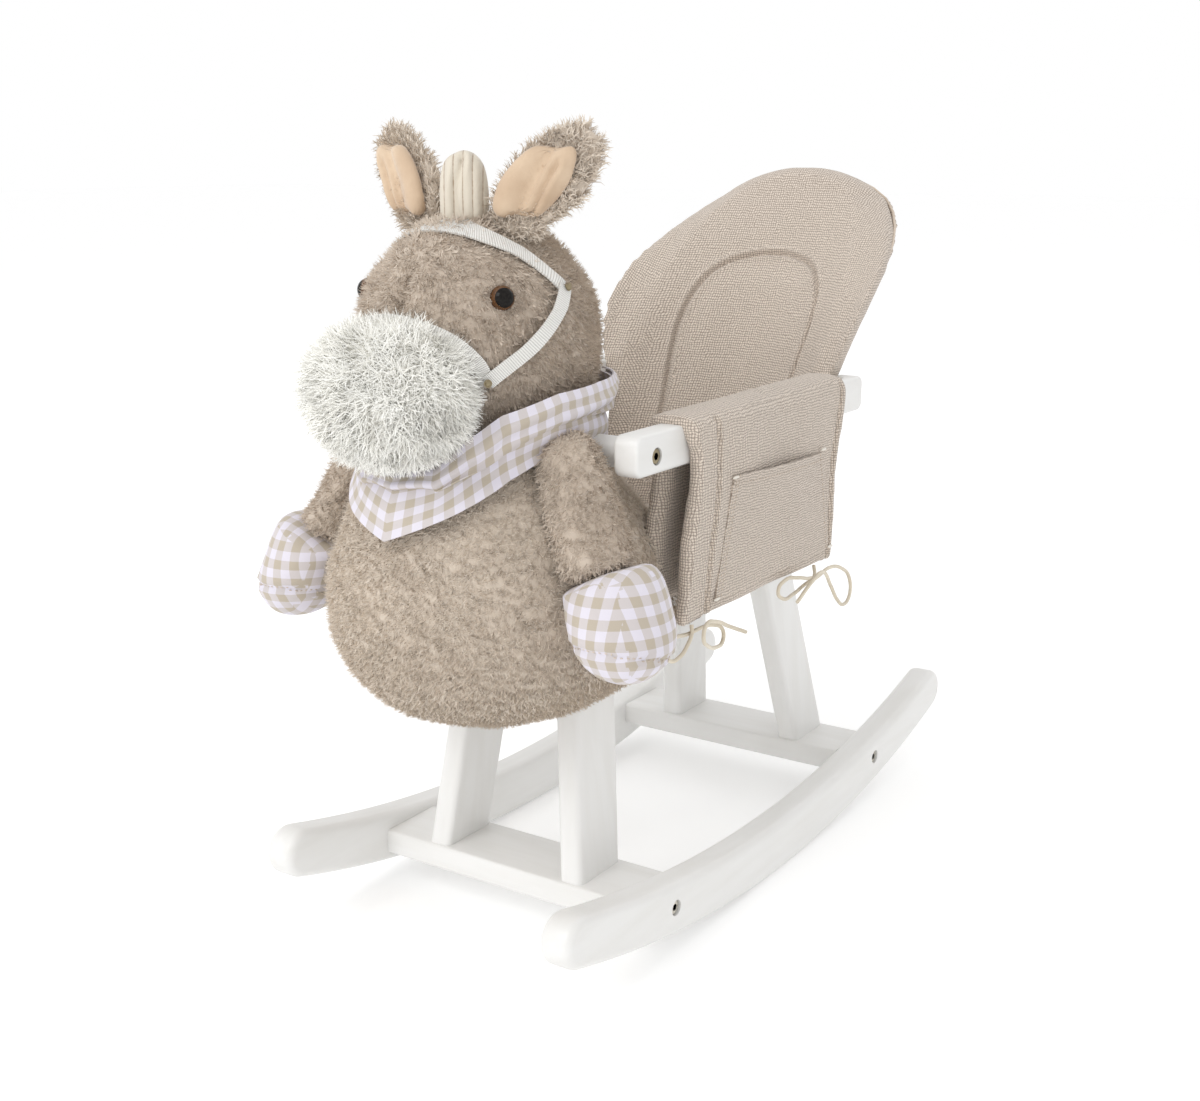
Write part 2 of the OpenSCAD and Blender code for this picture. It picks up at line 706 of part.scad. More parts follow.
module arm() {
    placed() color(fur) difference() {
        loft(arm_rings);
        flank(1);
        bar_room(2);
        translate([rail_in - 1, rail_front - 5, rail_z - rail_h / 2 - 4]) cube([60, 60, 60]);
    }
}
module hoof() {
    placed() color(gingham) difference() {
        loft(hoof_rings);
        loft(oval_rings(body_rings, 1));
    }
}
module left_arm() { arm(); }
module right_arm() { mirror([1, 0, 0]) arm(); }
module left_hoof() { hoof(); }
module right_hoof() { mirror([1, 0, 0]) hoof(); }

// ---- bridle and bandana ----

// a path with three steps where it had one
function finer(path) = concat([for (i = [0 : len(path) - 2], j = [0 : 2]) path[i] + (path[i + 1] - path[i]) * j / 3],
    [path[len(path) - 1]]);

// flat strap on the head's skin along a path of [angle, height]
module strap(points, off = soft_gap) {
    path = finer(points);
    n = len(path) - 1;
    mid = 80;
    edge = function(i, s) let (
        a = path[max(i - 1, 0)], b = path[min(i + 1, n)],
        du = (b[0] - a[0]) * PI / 180 * mid, dv = b[1] - a[1], l = norm([du, dv]))
        [path[i][0] - s * dv / l * webbing_w / 2 / mid * 180 / PI, path[i][1] + s * du / l * webbing_w / 2];
    rows = [for (i = [0 : n]) [for (s = [1, 0, -1]) edge(i, s)]];
    rise = function(z) lookup(z, [[495, 0], [515, 2]]);
    slab([for (r = rows) [for (q = r) skin_pt(q[0], q[1], off + webbing_t + rise(q[1]))]],
        [for (r = rows) [for (q = r) skin_pt(q[0], q[1], off + rise(q[1]))]]);
}

module brow_band() {
    placed() color(white) difference() {
        strap(brow_path);
        for (s = sides) on_side(s) loft(turned(ear_rings, 0.4), 24);
        along_x(-20, 20) translate([-258, 500]) square([26, 60]);
        rivet_holes();
    }
}
module cheek_strap() {
    placed() color(white) difference() { strap(cheek_path, soft_gap + webbing_t + fit); rivet_holes(); }
}
module left_cheek_strap() { cheek_strap(); }
module right_cheek_strap() { mirror([1, 0, 0]) cheek_strap(); }
module nose_band() {
    placed() color(white) difference() {
        strap(nose_path);
        loft(muzzle_rings(0.3));
        rivet_holes();
    }
}

module at_rivets() {
    for (s = sides, q = rivet_places) let (p = skin_pt(q[0] * s, q[1], 0))
        translate(p) rotate([90, 0, q[0] * s]) children();
}
module rivet_holes() { at_rivets() translate([0, 0, -5]) cylinder(h = 20, r = 1.6, $fn = 24); }
module bridle_rivets() {
    placed() color(brass) difference() {
        at_rivets() {
            cylinder(h = 5.5, r = 1.5, $fn = 24);
            translate([0, 0, 5.4]) cylinder(h = 1.6, r1 = rivet_r, r2 = rivet_r * 0.7, $fn = 24);
        }
        loft(oval_rings(head_rings, 0.2));
    }
}

bandana_low = [[0, 330], [26, 350], [50, 370], [72, 386], [180, 386]];
bandana_high = [[0, 372], [22, 374], [34, 388], [50, 404], [75, 418], [100, 424], [180, 424]];
bandana_out = [[345, 0], [372, 1], [388, 9], [405, 4], [424, 2]];
module bandana() {
    rows = 7;
    grid = function(off) [for (a = [-180 : 11.25 : 180]) [for (i = [0 : rows])
        let (lo = lookup(abs(a), bandana_low), hi = lookup(abs(a), bandana_high), z = hi + (lo - hi) * i / rows)
        skin_pt(a * 0.999, z, off + lookup(z, bandana_out))]];
    placed() color(gingham) difference() {
        slab(grid(4.5), grid(1.5));
        bar_room(1);
    }
}

left_rocker();
right_rocker();
front_crossboard();
rear_crossboard();
front_left_leg();
front_right_leg();
rear_left_leg();
rear_right_leg();
seat_board();
backrest_shell();
left_arm_rail();
right_arm_rail();
front_bar();
neck_post();
rocker_bolts();
cross_dowel_nuts();
leg_screws();
seat_screws();
post_screws();
backrest_screws();
rail_bolts();
rail_screws();
seat_pad();
backrest_pad();
backrest_sleeve();
left_side_flap();
right_side_flap();
left_pocket();
right_pocket();
left_front_tie();
left_rear_tie();
right_front_tie();
right_rear_tie();
plush_body();
plush_head();
muzzle();
left_eye();
right_eye();
left_ear();
right_ear();
left_ear_lining();
right_ear_lining();
forelock();
left_arm();
right_arm();
left_hoof();
right_hoof();
brow_band();
left_cheek_strap();
right_cheek_strap();
nose_band();
bridle_rivets();
bandana();
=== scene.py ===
import bpy
import bmesh
from math import sin, cos, tan, atan, asin, pi, sqrt, radians, exp
from mathutils import Vector, Matrix, noise
from mathutils.kdtree import KDTree


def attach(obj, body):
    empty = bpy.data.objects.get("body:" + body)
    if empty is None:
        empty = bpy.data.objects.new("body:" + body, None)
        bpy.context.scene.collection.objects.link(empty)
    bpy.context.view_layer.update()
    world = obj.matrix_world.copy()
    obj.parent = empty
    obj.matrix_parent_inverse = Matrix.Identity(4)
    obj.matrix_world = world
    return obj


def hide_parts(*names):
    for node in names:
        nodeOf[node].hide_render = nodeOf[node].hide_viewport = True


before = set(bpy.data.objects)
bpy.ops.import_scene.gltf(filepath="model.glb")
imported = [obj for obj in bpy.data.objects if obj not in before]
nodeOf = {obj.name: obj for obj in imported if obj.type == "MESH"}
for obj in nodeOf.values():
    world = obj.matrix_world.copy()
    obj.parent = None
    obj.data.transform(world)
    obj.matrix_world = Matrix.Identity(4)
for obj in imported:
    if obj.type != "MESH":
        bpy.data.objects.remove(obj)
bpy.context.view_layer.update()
scene = bpy.context.scene
baseY = 25.5  # from the rockers' middle to the origin, mm


def at(x, y, z):
    return Vector((x, y + baseY, z)) / 1000


# camera
camData = bpy.data.cameras.new("camera")
camData.lens = 47.03
camData.sensor_width = 36
cam = bpy.data.objects.new("camera", camData)
cam.location = at(676.1, -1101.2, 581.6)
cam.rotation_euler = (radians(90 - 14.3), 0, radians(33.45))
scene.collection.objects.link(cam)
scene.camera = cam
print("camera set")


# small helpers for materials
def newMaterial(name, base, rough=0.6, metal=0.0, **more):
    m = bpy.data.materials.new(name)
    m.use_nodes = True
    b = m.node_tree.nodes["Principled BSDF"]
    b.inputs["Base Color"].default_value = (*base, 1)
    b.inputs["Roughness"].default_value = rough
    b.inputs["Metallic"].default_value = metal
    for key, value in more.items():
        b.inputs[key.replace("_", " ")].default_value = value
    return m


def addNode(m, kind, x=0, y=0, **settings):
    n = m.node_tree.nodes.new(kind)
    n.location = (x, y)
    for key, value in settings.items():
        if hasattr(n, key):
            setattr(n, key, value)
        else:
            n.inputs[key.replace("_", " ")].default_value = value
    return n


def wire(m, a, outName, b, inName):
    m.node_tree.links.new(a.outputs[outName], b.inputs[inName])


def shaderOf(m):
    return m.node_tree.nodes["Principled BSDF"]


def coords(m, source="Object", scale=(1, 1, 1), turn=(0, 0, 0)):
    tex = addNode(m, "ShaderNodeTexCoord", -1400, 0)
    move = addNode(m, "ShaderNodeMapping", -1200, 0)
    move.inputs["Scale"].default_value = scale
    move.inputs["Rotation"].default_value = turn
    wire(m, tex, source, move, "Vector")
    return move


def noiseOn(m, move, scale, detail=3.0, rough=0.55, y=0):
    n = addNode(m, "ShaderNodeTexNoise", -1000, y)
    n.inputs["Scale"].default_value = scale
    n.inputs["Detail"].default_value = detail
    n.inputs["Roughness"].default_value = rough
    wire(m, move, "Vector", n, "Vector")
    return n


def ramp(m, source, outName, stops, y=0, constant=False):
    r = addNode(m, "ShaderNodeValToRGB", -700, y)
    r.color_ramp.interpolation = "CONSTANT" if constant else "LINEAR"
    while len(r.color_ramp.elements) < len(stops):
        r.color_ramp.elements.new(0.5)
    for e, (p, c) in zip(r.color_ramp.elements, stops):
        e.position = p
        e.color = (*c, 1)
    wire(m, source, outName, r, "Fac")
    return r


def bumpOf(m, source, outName, strength, distance, y=-500, under=None):
    b = addNode(m, "ShaderNodeBump", -300, y)
    b.inputs["Strength"].default_value = strength
    b.inputs["Distance"].default_value = distance
    wire(m, source, outName, b, "Height")
    if under:
        wire(m, under, "Normal", b, "Normal")
    wire(m, b, "Normal", shaderOf(m), "Normal")
    return b


def mathOn(m, kind, a, aOut, b=None, bOut=None, value=None, y=0):
    n = addNode(m, "ShaderNodeMath", -900, y)
    n.operation = kind
    wire(m, a, aOut, n, 0)
    if b:
        wire(m, b, bOut, n, 1)
    elif value is not None:
        n.inputs[1].default_value = value
    return n


# materials
def paintMaterial(name, grain):
    look = {"white": (0.80, 0.795, 0.78), "worn": (0.765, 0.757, 0.735), "rough": 0.36}
    m = newMaterial(name, look["white"], look["rough"], Coat_Weight=0.15, Coat_Roughness=0.3)
    move = coords(m, "Object", grain)
    fine = noiseOn(m, move, 90, 6, 0.6)
    wide = noiseOn(m, move, 9, 3, 0.5, -300)
    tone = ramp(m, wide, "Fac", [(0.3, look["worn"]), (0.62, look["white"])])
    wire(m, tone, "Color", shaderOf(m), "Base Color")
    gloss = addNode(m, "ShaderNodeMapRange", -700, -250, From_Min=0.3, From_Max=0.7, To_Min=0.3, To_Max=0.46)
    wire(m, fine, "Fac", gloss, "Value")
    wire(m, gloss, "Result", shaderOf(m), "Roughness")
    bumpOf(m, fine, "Fac", 0.22, 0.0006)
    return m


def woodMaterial(name, grain):
    look = {"light": (0.72, 0.54, 0.34), "dark": (0.55, 0.37, 0.20)}
    m = newMaterial(name, look["light"], 0.6)
    move = coords(m, "Object", grain)
    rings = noiseOn(m, move, 22, 6, 0.65)
    tone = ramp(m, rings, "Fac", [(0.35, look["dark"]), (0.6, look["light"])])
    wire(m, tone, "Color", shaderOf(m), "Base Color")
    bumpOf(m, rings, "Fac", 0.3, 0.0006)
    return m


def metalMaterial(name, base, rough):
    m = newMaterial(name, base, rough, 1.0)
    move = coords(m)
    spots = noiseOn(m, move, 400, 5, 0.6)
    gloss = addNode(m, "ShaderNodeMapRange", -700, -250, To_Min=rough - 0.08, To_Max=rough + 0.14)
    wire(m, spots, "Fac", gloss, "Value")
    wire(m, gloss, "Result", shaderOf(m), "Roughness")
    bumpOf(m, spots, "Fac", 0.15, 0.0002)
    return m


def linenMaterial(name, light, dark, thread=0.0017):
    # plain weave from the piece's own UV, which is in metres
    m = newMaterial(name, light, 0.88, Sheen_Weight=0.25, Sheen_Roughness=0.5)
    move = coords(m, "UV", (1 / thread, 1 / thread, 1))
    wob = noiseOn(m, move, 0.2, 3, 0.6, 300)
    split = addNode(m, "ShaderNodeSeparateXYZ", -1000, -100)
    wire(m, move, "Vector", split, "Vector")
    sides = []
    for i, axis in enumerate("XY"):
        jitter = mathOn(m, "MULTIPLY_ADD", wob, "Fac", value=2.2, y=-100 - 150 * i)
        wire(m, split, axis, jitter, 2)
        turnBy = mathOn(m, "MULTIPLY", jitter, "Value", value=pi, y=-120 - 150 * i)
        wave = mathOn(m, "SINE", turnBy, "Value", y=-140 - 150 * i)
        sides.append(mathOn(m, "ABSOLUTE", wave, "Value", y=-160 - 150 * i))
    # threads cross over and under
    height = mathOn(m, "MULTIPLY", sides[0], "Value", sides[1], "Value", y=-600)
    slub = addNode(m, "ShaderNodeTexNoise", -1000, -900)
    slub.inputs["Scale"].default_value = 1.4
    slub.inputs["Detail"].default_value = 4
    wire(m, move, "Vector", slub, "Vector")
    soft = mathOn(m, "MULTIPLY", slub, "Fac", value=0.5, y=-850)
    mixUp = mathOn(m, "MULTIPLY_ADD", height, "Value", value=0.7, y=-700)
    wire(m, soft, "Value", mixUp, 2)
    # the weave is coloured dark where the threads dip: painted shade between the threads; the slubs are the yarn's
    # own uneven tone
    tone = ramp(m, mixUp, "Value", [(0.2, dark), (0.8, light)])
    wire(m, tone, "Color", shaderOf(m), "Base Color")
    bumpOf(m, mixUp, "Value", 0.8, 0.0008)
    return m


def ginghamMaterial(name, size, white, tint):
    m = newMaterial(name, white, 0.85, Sheen_Weight=0.2)
    move = coords(m, "UV", (0.5 / size, 0.5 / size, 1))
    split = addNode(m, "ShaderNodeSeparateXYZ", -1000, -100)
    wire(m, move, "Vector", split, "Vector")
    bands = []
    for axis in "XY":
        part = mathOn(m, "FRACT", split, axis)
        bands.append(mathOn(m, "GREATER_THAN", part, "Value", value=0.5))
    total = mathOn(m, "ADD", bands[0], "Value", bands[1], "Value")
    half = mathOn(m, "MULTIPLY", total, "Value", value=0.5)
    middle = tuple((a + b) / 2 for a, b in zip(white, tint))
    tone = ramp(m, half, "Value", [(0.0, white), (0.3, middle), (0.8, tint)], constant=True)
    wire(m, tone, "Color", shaderOf(m), "Base Color")
    weave = addNode(m, "ShaderNodeTexNoise", -1000, -600)
    weave.inputs["Scale"].default_value = 18
    wire(m, move, "Vector", weave, "Vector")
    bumpOf(m, weave, "Fac", 0.3, 0.0005)
    return m


def furMaterial(name, roots, tips, spread=0.35):
    # darker at the roots, lighter at the tips: the darker roots are painted shade deep in the pile; each lock also
    # has its own random tone
    m = newMaterial(name, tips, 0.9, Sheen_Weight=0.3, Sheen_Roughness=0.45)
    strand = addNode(m, "ShaderNodeAttribute", -1200, 200)
    strand.attribute_name = "strand"
    along = addNode(m, "ShaderNodeAttribute", -1200, 400)
    along.attribute_name = "along"
    move = coords(m)
    patches = noiseOn(m, move, 30, 4, 0.6)
    both = mathOn(m, "MULTIPLY_ADD", patches, "Fac", value=spread)
    soft = mathOn(m, "MULTIPLY", strand, "Fac", value=0.4)
    wire(m, soft, "Value", both, 2)
    height = mathOn(m, "MULTIPLY_ADD", along, "Fac", value=0.45)
    wire(m, both, "Value", height, 2)
    # low on each strand the colour goes to the root tone, painted shade in the pile
    tone = ramp(m, height, "Value", [(0.15, roots), (0.85, tips)])
    wire(m, tone, "Color", shaderOf(m), "Base Color")
    fluff = noiseOn(m, move, 420, 4, 0.7, -500)
    bumpOf(m, fluff, "Fac", 0.3, 0.001)
    return m


def pileMaterial(name, base, shade, scale, strength, rough=0.85):
    m = newMaterial(name, base, rough, Sheen_Weight=0.5, Sheen_Roughness=0.35)
    move = coords(m)
    fine = noiseOn(m, move, scale, 5, 0.65)
    wide = noiseOn(m, move, 30, 3, 0.5, -300)
    tone = ramp(m, wide, "Fac", [(0.3, shade), (0.65, base)])
    wire(m, tone, "Color", shaderOf(m), "Base Color")
    bumpOf(m, fine, "Fac", strength, 0.0008)
    return m


def ribMaterial(name, base, groove, pitch, depth, source="UV", turn=(0, 0, 0), edge=0.9):
    m = newMaterial(name, base, 0.8, Sheen_Weight=0.3)
    move = coords(m, source, (1 / pitch, 1 / pitch, 1 / pitch), turn)
    split = addNode(m, "ShaderNodeSeparateXYZ", -1000, -100)
    wire(m, move, "Vector", split, "Vector")
    turnBy = mathOn(m, "MULTIPLY", split, "X", value=pi)
    wave = mathOn(m, "SINE", turnBy, "Value")
    ribs = mathOn(m, "ABSOLUTE", wave, "Value")
    nap = noiseOn(m, move, 1.7, 4, 0.6, -400)
    both = mathOn(m, "MULTIPLY_ADD", nap, "Fac", value=0.5)
    wire(m, ribs, "Value", both, 2)
    # the grooves between the ribs take the darker groove tone: painted shade in the grooves; the nap noise is the
    # cloth's own uneven tone
    tone = ramp(m, both, "Value", [(0.25, groove), (edge, base)])
    wire(m, tone, "Color", shaderOf(m), "Base Color")
    bumpOf(m, both, "Value", 0.8, depth)
    return m


paintAlong = paintMaterial("painted wood, grain front to back", (8, 1, 8))
paintAcross = paintMaterial("painted wood, grain across", (1, 8, 8))
paintUp = paintMaterial("painted wood, grain upwards", (8, 8, 1))
bareWood = woodMaterial("bare plywood", (3, 0.6, 8))
nickel = metalMaterial("dull nickel", (0.62, 0.59, 0.52), 0.34)
agedBrass = metalMaterial("aged brass", (0.30, 0.25, 0.16), 0.4)
linen = linenMaterial("cover linen", (0.78, 0.68, 0.585), (0.27, 0.22, 0.18), 0.0021)
threadMat = pileMaterial("sewing thread", (0.66, 0.56, 0.46), (0.52, 0.43, 0.35), 900, 0.3)
paleThread = pileMaterial("pale bartack thread", (0.85, 0.81, 0.74), (0.70, 0.66, 0.58), 900, 0.3)
cordMat = pileMaterial("cotton cord", (0.80, 0.73, 0.60), (0.64, 0.56, 0.43), 700, 0.8)
curlyFur = furMaterial("curly taupe fur", (0.54, 0.46, 0.38), (0.78, 0.695, 0.595))
darkerFur = furMaterial("curly taupe fur of head and arms", (0.48, 0.40, 0.325), (0.70, 0.61, 0.515))
creamPile = furMaterial("cream long pile", (0.95, 0.93, 0.87), (0.99, 0.985, 0.95))
velour = pileMaterial("peach velour", (0.66, 0.51, 0.365), (0.52, 0.375, 0.255), 500, 0.5)
corduroy = ribMaterial("wide wale corduroy", (0.66, 0.60, 0.50), (0.36, 0.26, 0.18), 0.0066, 0.0012, "Object",
                       (0, 0, radians(-33)), 0.5)
webbing = ribMaterial("ribbed webbing", (0.82, 0.81, 0.78), (0.52, 0.50, 0.46), 0.0016, 0.0005)
gingham = ginghamMaterial("small gingham", 0.0066, (0.70, 0.67, 0.745), (0.48, 0.42, 0.34))
eyeBrown = newMaterial("eye brown", (0.10, 0.045, 0.02), 0.1, Specular_IOR_Level=0.4)
eyeMove = coords(eyeBrown)
eyeFlecks = noiseOn(eyeBrown, eyeMove, 900, 3)
wire(eyeBrown, ramp(eyeBrown, eyeFlecks, "Fac", [(0.3, (0.06, 0.025, 0.012)), (0.7, (0.16, 0.075, 0.03))]),
     "Color", shaderOf(eyeBrown), "Base Color")
pupilBlack = newMaterial("pupil black", (0.012, 0.010, 0.010), 0.07, Specular_IOR_Level=0.1)
pupilMove = coords(pupilBlack)
wire(pupilBlack, ramp(pupilBlack, noiseOn(pupilBlack, pupilMove, 600), "Fac",
     [(0.3, (0.008, 0.007, 0.007)), (0.7, (0.02, 0.018, 0.016))]), "Color", shaderOf(pupilBlack), "Base Color")
print("materials made")


# small helpers for pieces
def finishPiece(name, bm, material, body="frame", stands=(), sharp=40):
    mesh = bpy.data.meshes.new(name)
    bm.to_mesh(mesh)
    bm.free()
    obj = bpy.data.objects.new(name, mesh)
    scene.collection.objects.link(obj)
    mesh.materials.append(material)
    for p in mesh.polygons:
        p.use_smooth = True
    mesh.set_sharp_from_angle(angle=radians(sharp))
    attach(obj, body)
    if stands:
        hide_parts(*stands)
    return obj


def scaled(bm):
    # shapes are worked out in millimetres from the rockers' middle, then put in place in metres
    bmesh.ops.translate(bm, verts=bm.verts, vec=(0, baseY, 0))
    bmesh.ops.scale(bm, verts=bm.verts, vec=(0.001, 0.001, 0.001))
    return bm


def pointsOf(geom):
    return [g for g in geom if isinstance(g, bmesh.types.BMVert)]


def flipped(bm):
    # the left piece's twin on the right
    twin = bm.copy()
    bmesh.ops.scale(twin, verts=twin.verts, vec=(-1, 1, 1))
    bmesh.ops.reverse_faces(twin, faces=twin.faces)
    return twin


def bevelEdges(bm, edges, width, steps=4):
    bmesh.ops.bevel(bm, geom=list(edges), offset=width, offset_type="OFFSET", affect="EDGES",
                    segments=steps, profile=0.5, material=-1)


def blockAt(bm, size, centre):
    made = bmesh.ops.create_cube(bm, size=1)["verts"]
    bmesh.ops.scale(bm, verts=made, vec=size)
    bmesh.ops.translate(bm, verts=made, vec=centre)
    return made


def rodAt(bm, r1, r2, length, centre, axis="Z", segments=32):
    made = bmesh.ops.create_cone(bm, cap_ends=True, segments=segments, radius1=r1, radius2=r2, depth=length)["verts"]
    if axis == "X":
        bmesh.ops.rotate(bm, verts=made, cent=(0, 0, 0), matrix=Matrix.Rotation(pi / 2, 3, "Y"))
    if axis == "Y":
        bmesh.ops.rotate(bm, verts=made, cent=(0, 0, 0), matrix=Matrix.Rotation(-pi / 2, 3, "X"))
    bmesh.ops.translate(bm, verts=made, vec=centre)
    return made


def longEdges(bm, axis, keep=None):
    found = []
    for e in bm.edges:
        d = (e.verts[0].co - e.verts[1].co).normalized()
        if abs(d[axis]) > 0.9 and (keep is None or keep(e)):
            found.append(e)
    return found


def carve(obj, cutter):
    # cutter is a bmesh in metres, used once
    mesh = bpy.data.meshes.new("cutter")
    cutter.to_mesh(mesh)
    cutter.free()
    tool = bpy.data.objects.new("cutter", mesh)
    scene.collection.objects.link(tool)
    mod = obj.modifiers.new("carve", "BOOLEAN")
    mod.operation = "DIFFERENCE"
    mod.solver = "EXACT"
    mod.object = tool
    applyAll(obj)
    bpy.data.objects.remove(tool)
    obj.data.set_sharp_from_angle(angle=radians(40))


def applyAll(obj):
    dg = bpy.context.evaluated_depsgraph_get()
    old = obj.data
    new = bpy.data.meshes.new_from_object(obj.evaluated_get(dg), depsgraph=dg)
    obj.modifiers.clear()
    obj.data = new
    new.name = obj.name
    bpy.data.meshes.remove(old)


def boxUv(obj):
    # a flat pattern from each side, in metres
    mesh = obj.data
    layer = mesh.uv_layers.get("flat") or mesh.uv_layers.new(name="flat")
    for p in mesh.polygons:
        n = p.normal
        side = max(range(3), key=lambda i: abs(n[i]))
        for loop in p.loop_indices:
            v = mesh.vertices[mesh.loops[loop].vertex_index].co
            layer.data[loop].uv = [(v.y, v.z), (v.x, v.z), (v.x, v.y)][side]


def smoothStep(t):
    t = min(1.0, max(0.0, t))
    return t * t * (3 - 2 * t)


def lookup(value, table):
    if value <= table[0][0]:
        return table[0][1]
    for a, b in zip(table, table[1:]):
        if value <= b[0]:
            return a[1] + (b[1] - a[1]) * (value - a[0]) / (b[0] - a[0])
    return table[-1][1]


def loftRings(bm, rings, segments=48):
    # each ring is [x, y, z, half width, half depth, turn]; rings are bridged and the ends closed
    loops = []
    for r in rings:
        turn = radians(r[5]) if len(r) > 5 else 0
        place = Matrix.Translation(r[:3]) @ Matrix.Rotation(turn, 4, "Z") @ Matrix.Diagonal((r[3], r[4], 1, 1))
        made = bmesh.ops.create_circle(bm, cap_ends=False, radius=1, segments=segments, matrix=place)["verts"]
        loops.append(list({e for v in made for e in v.link_edges}))
    for a, b in zip(loops, loops[1:]):
        bmesh.ops.bridge_loops(bm, edges=a + b)
    for loop in (loops[0], loops[-1]):
        bmesh.ops.holes_fill(bm, edges=loop, sides=0)
    bmesh.ops.recalc_face_normals(bm, faces=bm.faces)
    return bm


# ties: one cord per bow
tieLook = {"thick": 0.003}
frontTie = [
    (137, -166, 252), (138, -167, 246), (139, -175, 239), (140, -187, 234), (139, -199, 234),
    (137, -204, 241), (136, -197, 247), (135, -184, 247), (135, -168, 245), (137, -152, 246),
    (139, -138, 245), (141, -127, 239), (142, -128, 231), (143, -140, 229), (144, -154, 234),
    (146, -164, 243), (146, -160, 252), (146, -147, 251), (146, -126, 242), (146, -100, 231)]
rearTie = [
    (137, 33, 252), (140, 29, 246), (144, 12, 247), (145, -12, 253), (145, -35, 256),
    (145, -46, 250), (145, -38, 242), (143, -15, 240), (141, 10, 242), (140, 32, 242),
    (141, 54, 246), (142, 76, 241), (142, 94, 227), (142, 95, 213), (143, 82, 208),
    (144, 66, 216), (145, 50, 232), (146, 32, 248), (147, 10, 245), (147, -16, 234)]


def makeTie(name, route, side, node):
    line = bpy.data.curves.new(name, "CURVE")
    line.dimensions = "3D"
    spline = line.splines.new("BEZIER")
    spline.bezier_points.add(len(route) - 1)
    for p, q in zip(spline.bezier_points, route):
        p.co = at(q[0] * side, q[1], q[2])
        p.handle_left_type = p.handle_right_type = "AUTO"
    spline.resolution_u = 6
    line.bevel_depth = tieLook["thick"] / 2
    line.bevel_resolution = 3
    line.use_fill_caps = True
    obj = bpy.data.objects.new(name, line)
    line.materials.append(cordMat)
    scene.collection.objects.link(obj)
    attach(obj, "frame")
    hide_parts(node)


for side, word in ((1, "left"), (-1, "right")):
    makeTie(word + "_front_bow", frontTie, side, word + "_front_tie")
    makeTie(word + "_rear_bow", rearTie, side, word + "_rear_tie")
print("ties made")


# rockers
rocker = {"length": 654, "curve": 1100, "depth": 44, "thick": 26, "endRound": 19, "gap": 228, "edge": 6.5,
          "boltsY": (-187, 171), "boltZ": 39, "recess": 6.2, "recessDepth": 5.5}


def turnArc(bm, start, centre, angle, steps):
    out = bmesh.ops.spin(bm, geom=[start], cent=centre, axis=(1, 0, 0), angle=angle, steps=steps)
    return pointsOf(out["geom_last"])[0]


def rockerShape():
    r = rocker
    bm = bmesh.new()
    a = asin((r["length"] / 2 - r["endRound"]) / (r["curve"] - r["endRound"]))
    endY = sin(a) * (r["curve"] - r["endRound"])
    endZ = r["curve"] - cos(a) * (r["curve"] - r["endRound"])
    topR = (endY ** 2 + (r["depth"] - endZ) ** 2 - r["endRound"] ** 2) / (2 * (r["endRound"] - r["depth"] + endZ))
    topZ = r["depth"] + topR
    b = atan(endY / (topZ - endZ))
    x = r["gap"] / 2
    v = bm.verts.new((x, -sin(a) * r["curve"], r["curve"] - cos(a) * r["curve"]))
    v = turnArc(bm, v, (x, 0, r["curve"]), 2 * a, 72)
    v = turnArc(bm, v, (x, endY, endZ), pi + b - a, 20)
    v = turnArc(bm, v, (x, 0, topZ), -2 * b, 72)
    turnArc(bm, v, (x, -endY, endZ), pi + b - a, 20)
    bmesh.ops.remove_doubles(bm, verts=bm.verts, dist=0.05)
    face = bmesh.ops.contextual_create(bm, geom=bm.edges)["faces"]
    grown = bmesh.ops.extrude_face_region(bm, geom=face)["geom"]
    bmesh.ops.translate(bm, verts=pointsOf(grown), vec=(r["thick"], 0, 0))
    bmesh.ops.recalc_face_normals(bm, faces=bm.faces)
    rim = [e for e in bm.edges if abs(e.verts[0].co.x - e.verts[1].co.x) < 0.01]
    bevelEdges(bm, rim, r["edge"], 6)
    return bm


leftRocker = rockerShape()
rightRocker = flipped(leftRocker)
for side, word, shape in ((1, "left", leftRocker), (-1, "right", rightRocker)):
    obj = finishPiece(word + "_rocker_wood", scaled(shape), paintAlong, "frame", [word + "_rocker"])
    cut = bmesh.new()
    for y in rocker["boltsY"]:
        x = side * (rocker["gap"] / 2 + rocker["thick"] - rocker["recessDepth"] / 2 + 5)
        rodAt(cut, rocker["recess"], rocker["recess"], rocker["recessDepth"] + 10, (x, y, rocker["boltZ"]),
              "X", 40)
    carve(obj, scaled(cut))
print("rockers made")


# cross boards, legs, rails, bar
board = {"size": (228, 60, 20), "height": 39, "y": (-187, 171), "edge": 2.5}
for word, y in zip(("front", "rear"), board["y"]):
    bm = bmesh.new()
    blockAt(bm, board["size"], (0, y, board["height"]))
    bevelEdges(bm, longEdges(bm, 0), board["edge"], 4)
    finishPiece(word + "_board_wood", scaled(bm), paintAcross, "frame", [word + "_crossboard"])

leg = {"size": (20, 55), "foot": 49, "top": 245, "x": 63, "splay": 6.4, "rakes": (7.3, -13.2), "edge": 5}
for word, y, rake in zip(("front", "rear"), board["y"], leg["rakes"]):
    for side, hand in ((1, "left"), (-1, "right")):
        tall = leg["top"] - leg["foot"]
        bm = bmesh.new()
        blockAt(bm, (*leg["size"], tall), (0, 0, tall / 2))
        bevelEdges(bm, longEdges(bm, 2), leg["edge"], 5)
        lean = Matrix(((1, 0, -side * tan(radians(leg["splay"]))), (0, 1, tan(radians(rake))), (0, 0, 1)))
        bmesh.ops.transform(bm, matrix=lean.to_4x4(), verts=bm.verts)
        bmesh.ops.translate(bm, verts=bm.verts, vec=(side * leg["x"], y, leg["foot"]))
        finishPiece(f"{word}_{hand}_leg_wood", scaled(bm), paintUp, "frame", [f"{word}_{hand}_leg"])

